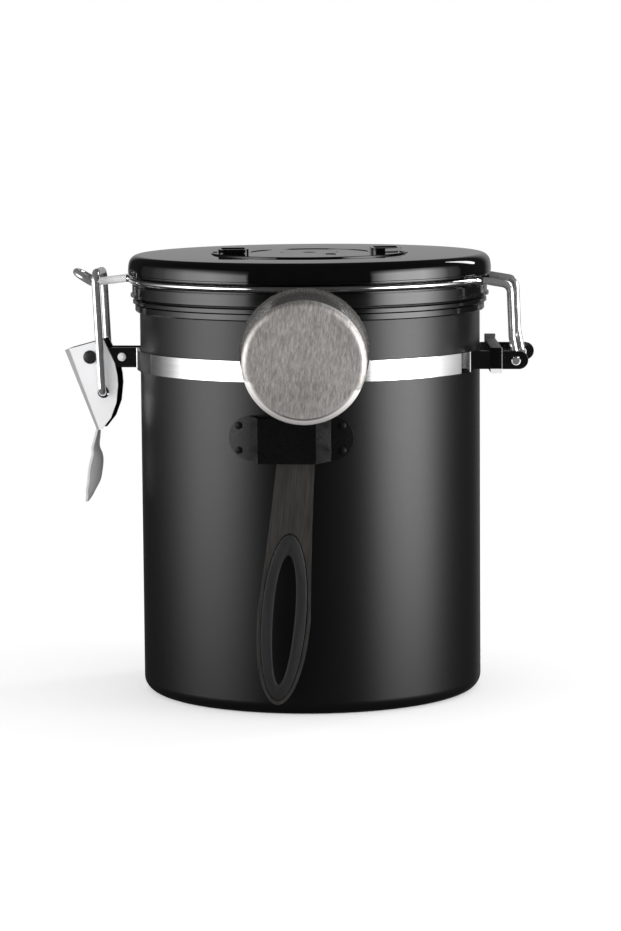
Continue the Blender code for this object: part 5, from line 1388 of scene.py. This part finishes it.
def keeper_foot():
    """The keeper's lower edge, folded towards the front."""
    front = HINGE_ARM_FACE + SEAT_GAP + KEEPER_THICKNESS
    low = HINGE_ARM_BOTTOM_Z - SEAT_GAP - KEEPER_THICKNESS
    lean = KEEPER_SKEW / 2 * front / (HINGE_ARM_FACE + SEAT_GAP)
    x_low = KEEPER_X - KEEPER_WIDTH / 2 + lean
    outline = rectangle(x_low, x_low + KEEPER_WIDTH, -front - KEEPER_EDGE, -front)
    return extruded("keeper_foot", outline, low, low + KEEPER_FOOT_HEIGHT, "Z")


def tab_wedge(name, x_start, x_end, start_rise, end_rise):
    """A shallow wedge on the front of a finger tab, for the fingertip."""
    face = -TAB_WIDTH / 2
    points = [(x_start, face), (x_start, face - start_rise), (x_end, face - end_rise), (x_end, face)]
    low = DIAL_TOP_Z + WEDGE_MARGIN
    return extruded(name, spun(points, DIAL_TURN), low, DIAL_TOP_Z + TAB_PROUD - WEDGE_MARGIN / 2, "Z")


def dial_dot(name, angle):
    radius = DIAL_RADIUS - TAB_SETBACK / 2
    outline = arc((radius * cos(angle), radius * sin(angle)), MARK_RADIUS, 0, 330)
    return extruded(name, outline, DIAL_TOP_Z, DIAL_TOP_Z + MARK_HEIGHT, "Z")


def dial_pointer():
    """A small pointer that stands at the edge of the dial's centre."""
    foot = DIAL_CENTRE_RADIUS - POINTER_LENGTH
    points = [(DIAL_CENTRE_RADIUS, 0), (foot, POINTER_HALF_WIDTH), (foot, -POINTER_HALF_WIDTH)]
    return extruded("dial_pointer", spun(points, POINTER_TURN), CAP_TOP_Z, DIAL_TOP_Z + MARK_HEIGHT, "Z")


def trimmings(bend, foot, gloss, dark):
    """Small pieces that the solids leave out, and the strip of painted shade along the lever's bend."""
    # The strip along the lever's bend is coloured as painted shade.
    settled(lever_bend(), bend, "lever", "lever_chrome")
    # The keeper's foot is coloured as a painted highlight.
    settled(keeper_foot(), foot, "canister", "keeper_dark")
    low = DIAL_RADIUS - TAB_SETBACK - TAB_LENGTH
    right = low + TAB_LENGTH * RIGHT_WEDGE_START_SHARE
    left = -low - TAB_LENGTH * LEFT_WEDGE_MARGIN_SHARE
    marks = (
        (tab_wedge("right_tab_wedge", right, low + TAB_LENGTH - WEDGE_MARGIN, RIGHT_WEDGE_RISE, 0), gloss),
        (tab_wedge("left_tab_wedge", -low - TAB_LENGTH + WEDGE_MARGIN, left, 0, LEFT_WEDGE_RISE), gloss),
        (dial_dot("right_dot", RIGHT_DOT_ANGLE), dark), (dial_dot("left_dot", LEFT_DOT_ANGLE), dark),
        (dial_pointer(), dark),
    )
    for piece, material in marks:
        settled(piece, material, "dial", "dial_gloss")


def canister_pieces(black, collar, bracket, lever_painted_sheen, lever_painted_shade, painted_highlight_steel):
    """The cup and everything that stays on it."""
    grain = (2.0, 4000.0)
    band = around_grain("brushed_band_steel", (0.5, 0.5, 0.5), (0.6, 0.6, 0.6), (0.15, 0.2), *grain)
    # A rougher, slightly darker copy of the band steel for the stretch before its right end: painted half
    # shade between the bright band and its painted dark end.
    band_half_painted_shade = around_grain("soft_band_steel", (0.42, 0.42, 0.42), (0.5, 0.5, 0.5), (0.4, 0.48), *grain)
    # Dark polished steel on the band's arms, also laid on the band's top edge and right end as painted
    # shade.
    arm_steel_and_painted_shade = polished("dark_arm_plating", (0.12, 0.12, 0.122), (0.2, 0.2, 0.203), (0.1, 0.18), 1.0)
    # Grey plating for the keeper's top and turned-up rear edge: painted light on the black keeper.
    keeper_painted_light = plated_sheet("grey_keeper_plating", (0.1, 0.1, 0.1), (0.16, 0.16, 0.16), 0.2)
    rivet = satin_plastic("blackened_rivet", (0.002, 0.002, 0.002), (0.004, 0.004, 0.004), (0.4, 0.5), 0.15)
    pivot_head = satin_plastic("blackened_pivot", (0.012, 0.012, 0.013), (0.02, 0.02, 0.021), (0.25, 0.4))

    settled(steel_cup(), black, "canister", "body_black", "canister_body")
    settled(neck_collar(), collar, "canister", "collar_black", "neck_collar")
    for name, side in (("clamp_band_front", 1), ("clamp_band_rear", -1)):
        half = settled(half_band(name, side), band, "canister", "band_steel", name)
        # The arms get the dark steel; the band's top edge and right end get it as painted shade, the stretch
        # before the right end a painted half shade, and the flat left end the near-black painted shade.
        edges = (arm_steel_and_painted_shade, on_arm), (arm_steel_and_painted_shade, band_top_edge)
        ends = (lever_painted_shade, band_left_end), (band_half_painted_shade, band_soft_end), (arm_steel_and_painted_shade, band_right_end)
        faced(half, *edges, *ends)
    keeper = settled(hinge_keeper(), bracket, "canister", "keeper_dark", "hinge_keeper")
    # The black keeper gets a painted highlight on its right side and underside and painted light on its top
    # and rear edge.
    faced(keeper, (painted_highlight_steel, keeper_fold), (keeper_painted_light, keeper_back))
    settled(lever_pivot_pin(), pivot_head, "canister", "pivot_dark", "lever_pivot_pin")
    settled(clamp_rivet(), lever_painted_sheen, "canister", "rivet_bright", "clamp_rivet")
    settled(scoop_bracket(), bracket, "canister", "bracket_black", "scoop_bracket")
    for number, place in enumerate(bracket_rivet_places()):
        name = f"bracket_rivet_{number + 1}"
        settled(bracket_rivet(name, place), rivet, "canister", "bracket_rivets", name)


def lid_pieces(collar, gloss, plastic, chrome, painted_highlight_steel):
    """The lid with its wire and its valve."""
    ring_wire = polished("bright_ring_plating", (0.85, 0.85, 0.85), (0.95, 0.95, 0.95), (0.1, 0.16), 1.0)
    inner = around_grain("inner_plate_steel", (0.5, 0.5, 0.5), (0.66, 0.66, 0.66), (0.25, 0.38), 3.0, 2500.0)
    silicone = satin_plastic("grey_silicone", (0.3, 0.3, 0.3), (0.38, 0.38, 0.38), (0.5, 0.62))
    rubber = satin_plastic("diaphragm_rubber", (0.01, 0.01, 0.01), (0.016, 0.016, 0.016), (0.5, 0.65))

    bail = settled(bail_ring(), chrome, "lid", "wire_chrome", "bail_ring")
    # The bail wire's catch crossbar gets a painted highlight.
    faced(bail, (painted_highlight_steel, on_catch), (ring_wire, on_ring))
    settled(lid_top_shell(), gloss, "lid", "lid_gloss", "lid_top_shell")
    settled(lid_skirt_ring(), collar, "lid", "skirt_black", "lid_skirt_ring")
    settled(lid_gasket(), silicone, "lid", "gasket_grey", "lid_gasket")
    settled(lid_inner_plate(), inner, "lid", "inner_steel", "lid_inner_plate")
    settled(valve_housing(), plastic, "lid", "valve_plastic", "valve_housing")
    settled(valve_diaphragm(), rubber, "lid", "diaphragm_rubber", "valve_diaphragm")
    settled(valve_cap(), gloss, "lid", "cap_gloss", "valve_cap")
    settled(date_dial(), gloss, "dial", "dial_gloss", "date_dial")


def scoop_pieces():
    """The scoop, drawn about its mouth and leaned as one."""
    grip = satin_plastic("soft_grip_rubber", (0.006, 0.006, 0.0063), (0.010, 0.010, 0.0105), (0.45, 0.6))
    floor_colours = (0.5, 0.475, 0.455), (0.94, 0.905, 0.875)
    floor_steel = brushed("brushed_scoop_steel", *floor_colours, (0.54, 0.64), (1800, 420, 420))
    handle_colours = (0.2, 0.19, 0.18), (0.34, 0.325, 0.31)
    handle_steel = brushed("brushed_handle_steel", *handle_colours, (0.3, 0.42), (3500, 3500, 80))
    wall_steel = polished("scoop_wall_steel", (0.5, 0.485, 0.47), (0.6, 0.585, 0.57), (0.2, 0.28), 0.95)
    # A pale ring on the bowl's lower corner and a dark line at the floor's edge: a painted highlight and
    # painted shade.
    corner_painted_highlight = low_corner("scoop_corner_steel", (0.3, 0.285, 0.285), (0.95, 0.93, 0.9))
    edge_painted_shade = low_corner("scoop_edge_steel", (0.07, 0.066, 0.064), (0.6, 0.58, 0.56))

    scoop = link_object("scoop_mouth", None)
    scoop.location = SCOOP_POINT
    scoop.rotation_euler = (0, SCOOP_LEAN, SCOOP_YAW)
    parts = (
        (scoop_bowl(), floor_steel, "scoop_steel", "scoop_bowl"),
        (scoop_handle(), handle_steel, "handle_steel", "scoop_handle"),
        (scoop_grip(), grip, "grip_black", "scoop_grip"),
    )
    finished = []
    for piece, material, slot, node in parts:
        piece.parent = scoop
        bpy.context.view_layer.update()
        finished.append(settled(piece, material, "scoop", slot, node))
    corner = (corner_painted_highlight, on_low_corner), (edge_painted_shade, on_floor_edge)
    faced(finished[0], (wall_steel, on_bowl_wall), *corner)
    bpy.data.objects.remove(scoop, do_unlink=True)


def pieces():
    chrome = polished("bright_wire_plating", (0.7, 0.7, 0.71), (0.82, 0.82, 0.83), (0.1, 0.18), 0.86)
    # Near-white, mostly unmetallic plating for the lever and the clamp rivet: painted sheen that stands in
    # for the plated steel's bright reflection.
    lever_painted_sheen = plated_sheet("pale_plated_sheet", (0.8, 0.8, 0.81), (0.88, 0.88, 0.89), 0.15)
    # Near-black copy of the plating for the lever cheeks' inner faces and the band's flat left end: painted
    # shade.
    lever_painted_shade = plated_sheet("shaded_plated_sheet", (0.008, 0.008, 0.009), (0.015, 0.015, 0.016), 0.8)
    # Greyer copy of the lever's plating for the thumb tab: painted shade.
    tab_painted_shade_plating = plated_sheet("thumb_tab_plating", (0.62, 0.62, 0.62), (0.75, 0.75, 0.75), 0.2)
    # Near-white plating for the keeper's right side, underside and foot and for the bail wire's catch
    # crossbar: painted highlight.
    painted_highlight_steel = plated_sheet("bright_fold_plating", (0.8, 0.8, 0.8), (0.92, 0.92, 0.92), 0.2)
    # Mid-grey plating for the strip along the lever's bend: painted shade.
    bend_painted_shade = plated_sheet("shaded_bend_plating", (0.34, 0.34, 0.34), (0.46, 0.46, 0.46), 0.2)
    gloss = gloss_black()
    collar = semi_gloss_black()
    bracket_colours = (0.0012, 0.0012, 0.0013), (0.0024, 0.0024, 0.0026)
    bracket = satin_plastic("blackened_bracket", *bracket_colours, (0.26, 0.36), 0.24)
    plastic = satin_plastic("valve_plastic", (0.02, 0.02, 0.02), (0.03, 0.03, 0.03), (0.4, 0.5))

    canister_pieces(satin_black(), collar, bracket, lever_painted_sheen, lever_painted_shade, painted_highlight_steel)
    lid_pieces(collar, gloss, plastic, chrome, painted_highlight_steel)
    lever = settled(latch_lever(), lever_painted_sheen, "lever", "lever_chrome", "latch_lever")
    # Painted shade on the cheeks' inner faces, and a greyer painted shade on the thumb tab.
    faced(lever, (lever_painted_shade, inside_lever), (tab_painted_shade_plating, on_tab))
    settled(latch_link(), chrome, "link", "link_chrome", "latch_link")
    trimmings(bend_painted_shade, painted_highlight_steel, gloss, plastic)
    scoop_pieces()


def camera():
    turn = CAMERA_AZIMUTH + CAMERA_YAW
    level = Vector((-sin(turn), cos(turn), 0))
    forward = level * cos(CAMERA_PITCH) - Vector((0, 0, sin(CAMERA_PITCH)))
    right = Vector((cos(turn), sin(turn), 0))
    up = right.cross(forward)
    across = right * cos(CAMERA_ROLL) - up * sin(CAMERA_ROLL)
    above = right * sin(CAMERA_ROLL) + up * cos(CAMERA_ROLL)
    data = bpy.data.cameras.new("view")
    data.lens = CAMERA_LENS
    data.sensor_width = CAMERA_SENSOR
    obj = link_object("view", data)
    outward = Vector((sin(CAMERA_AZIMUTH), -cos(CAMERA_AZIMUTH), 0))
    place = outward * CAMERA_DISTANCE + Vector((0, 0, CAMERA_HEIGHT))
    rows = Matrix((across, above, -forward)).transposed()
    obj.matrix_world = Matrix.Translation(place) @ rows.to_4x4()
    bpy.context.scene.camera = obj


def fade(n, value, shares):
    """The share at a place, read from a table of places and shares."""
    first, last = shares[0][0], shares[-1][0]
    ramp = n.add("ShaderNodeValToRGB", {"Fac": n.span(value, 0.0, 1.0, first, last)})
    stops = ramp.color_ramp.elements
    for place, _ in shares[1:-1]:
        stops.new((place - first) / (last - first))
    for stop, (_, share) in zip(stops, shares):
        stop.color = (share, share, share, 1)
    return ramp.outputs["Color"]


def area_light(name, shape, width, height, area, radiance, place, target):
    """An area light that faces the target and that the camera doesn't see."""
    data = bpy.data.lights.new(name, "AREA")
    data.shape = shape
    data.size = width
    data.size_y = height
    data.energy = radiance * pi * area
    obj = link_object(name, data)
    obj.location = place
    obj.rotation_euler = (place - target).to_track_quat("Z", "Y").to_euler()
    obj.visible_camera = False
    return data


def soft_box(name, radiance, round_shares, height_shares):
    """An upright light that fades towards its sides and its top."""
    start, end = radians(round_shares[0][0]), radians(round_shares[-1][0])
    low, high = height_shares[0][0], height_shares[-1][0]
    azimuth = (start + end) / 2
    width = 2 * BOX_DISTANCE * tan(abs(end - start) / 2)
    outward = Vector((sin(azimuth), -cos(azimuth), 0))
    middle = Vector((0, 0, (low + high) / 2))
    place = middle + outward * BOX_DISTANCE
    area = width * (high - low)
    n = Nodes(area_light(name, "RECTANGLE", width, high - low, area, radiance, place, middle))
    axes = n.axes(n.add("ShaderNodeNewGeometry").outputs["Position"])
    turn = n.number("ARCTAN2", axes["X"], n.number("MULTIPLY", axes["Y"], -1))
    around = fade(n, n.number("DEGREES", turn), round_shares)
    above = fade(n, axes["Z"], height_shares)
    n.put(n.number("MULTIPLY", around, above), n.tree.nodes["Emission"].inputs["Strength"])


def lamp():
    area = pi / 4 * LAMP_WIDTH * LAMP_HEIGHT
    target = Vector((0, 0, SHELL_TOP_Z))
    area_light("lamp", "ELLIPSE", LAMP_WIDTH, LAMP_HEIGHT, area, LAMP_RADIANCE, LAMP_PLACE, target)


def world():
    made = bpy.data.worlds.new("studio")
    bpy.context.scene.world = made
    n = Nodes(made)
    n.tree.nodes.clear()
    rays = n.add("ShaderNodeLightPath").outputs
    axes = n.axes(n.place("Generated"))
    back = n.span(axes["Y"], 0.0, 1.0, BACK_START, BACK_END, interpolation_type="SMOOTHSTEP")
    low = n.span(axes["Z"], 0.0, 1.0, BACK_TOP, BACK_TOP_FADE, interpolation_type="SMOOTHSTEP")
    reflected = n.span(n.number("MULTIPLY", back, low), DARK_REFLECTION, BACK_REFLECTION, 0.0, 1.0)
    shades = []
    for strength in (AMBIENT, reflected, WHITE):
        shade = n.add("ShaderNodeBackground", {"Color": (1, 1, 1, 1), "Strength": strength})
        shades.append(shade.outputs[0])
    plain, glossy, seen = shades
    first = n.add("ShaderNodeMixShader", {0: rays["Is Glossy Ray"], 1: plain, 2: glossy}).outputs[0]
    second = n.add("ShaderNodeMixShader", {0: rays["Is Camera Ray"], 1: first, 2: seen}).outputs[0]
    n.add("ShaderNodeOutputWorld", {0: second})


def floor():
    bm = bmesh.new()
    bmesh.ops.create_grid(bm, x_segments=1, y_segments=1, size=FLOOR_SIZE)
    mesh = bpy.data.meshes.new("floor")
    bm.to_mesh(mesh)
    bm.free()
    material, n = surface("pale_floor", specular=0.0)
    n.put((FLOOR_WHITE, FLOOR_WHITE, FLOOR_WHITE, 1), n.shader.inputs["Base Color"])
    n.put(FLOOR_WHITE, n.shader.inputs["Roughness"])
    reach = n.add("ShaderNodeVectorMath", {0: n.place()}, operation="LENGTH").outputs["Value"]
    edge = n.span(reach, FLOOR_ALPHA, 0.0, FLOOR_FADE_START, FLOOR_FADE_END)
    seen = n.number("SUBTRACT", 1.0, n.add("ShaderNodeLightPath").outputs["Is Glossy Ray"])
    n.put(n.number("MULTIPLY", edge, seen), n.shader.inputs["Alpha"])
    mesh.materials.append(material)
    link_object("floor", mesh)


def main():
    bpy.context.scene.view_settings.view_transform = "Standard"
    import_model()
    pieces()
    floor()
    world()
    soft_box("left_soft_box", LEFT_RADIANCE, LEFT_ROUND_SHARES, LEFT_HEIGHT_SHARES)
    soft_box("right_soft_box", RIGHT_RADIANCE, RIGHT_ROUND_SHARES, RIGHT_HEIGHT_SHARES)
    lamp()
    camera()


main()
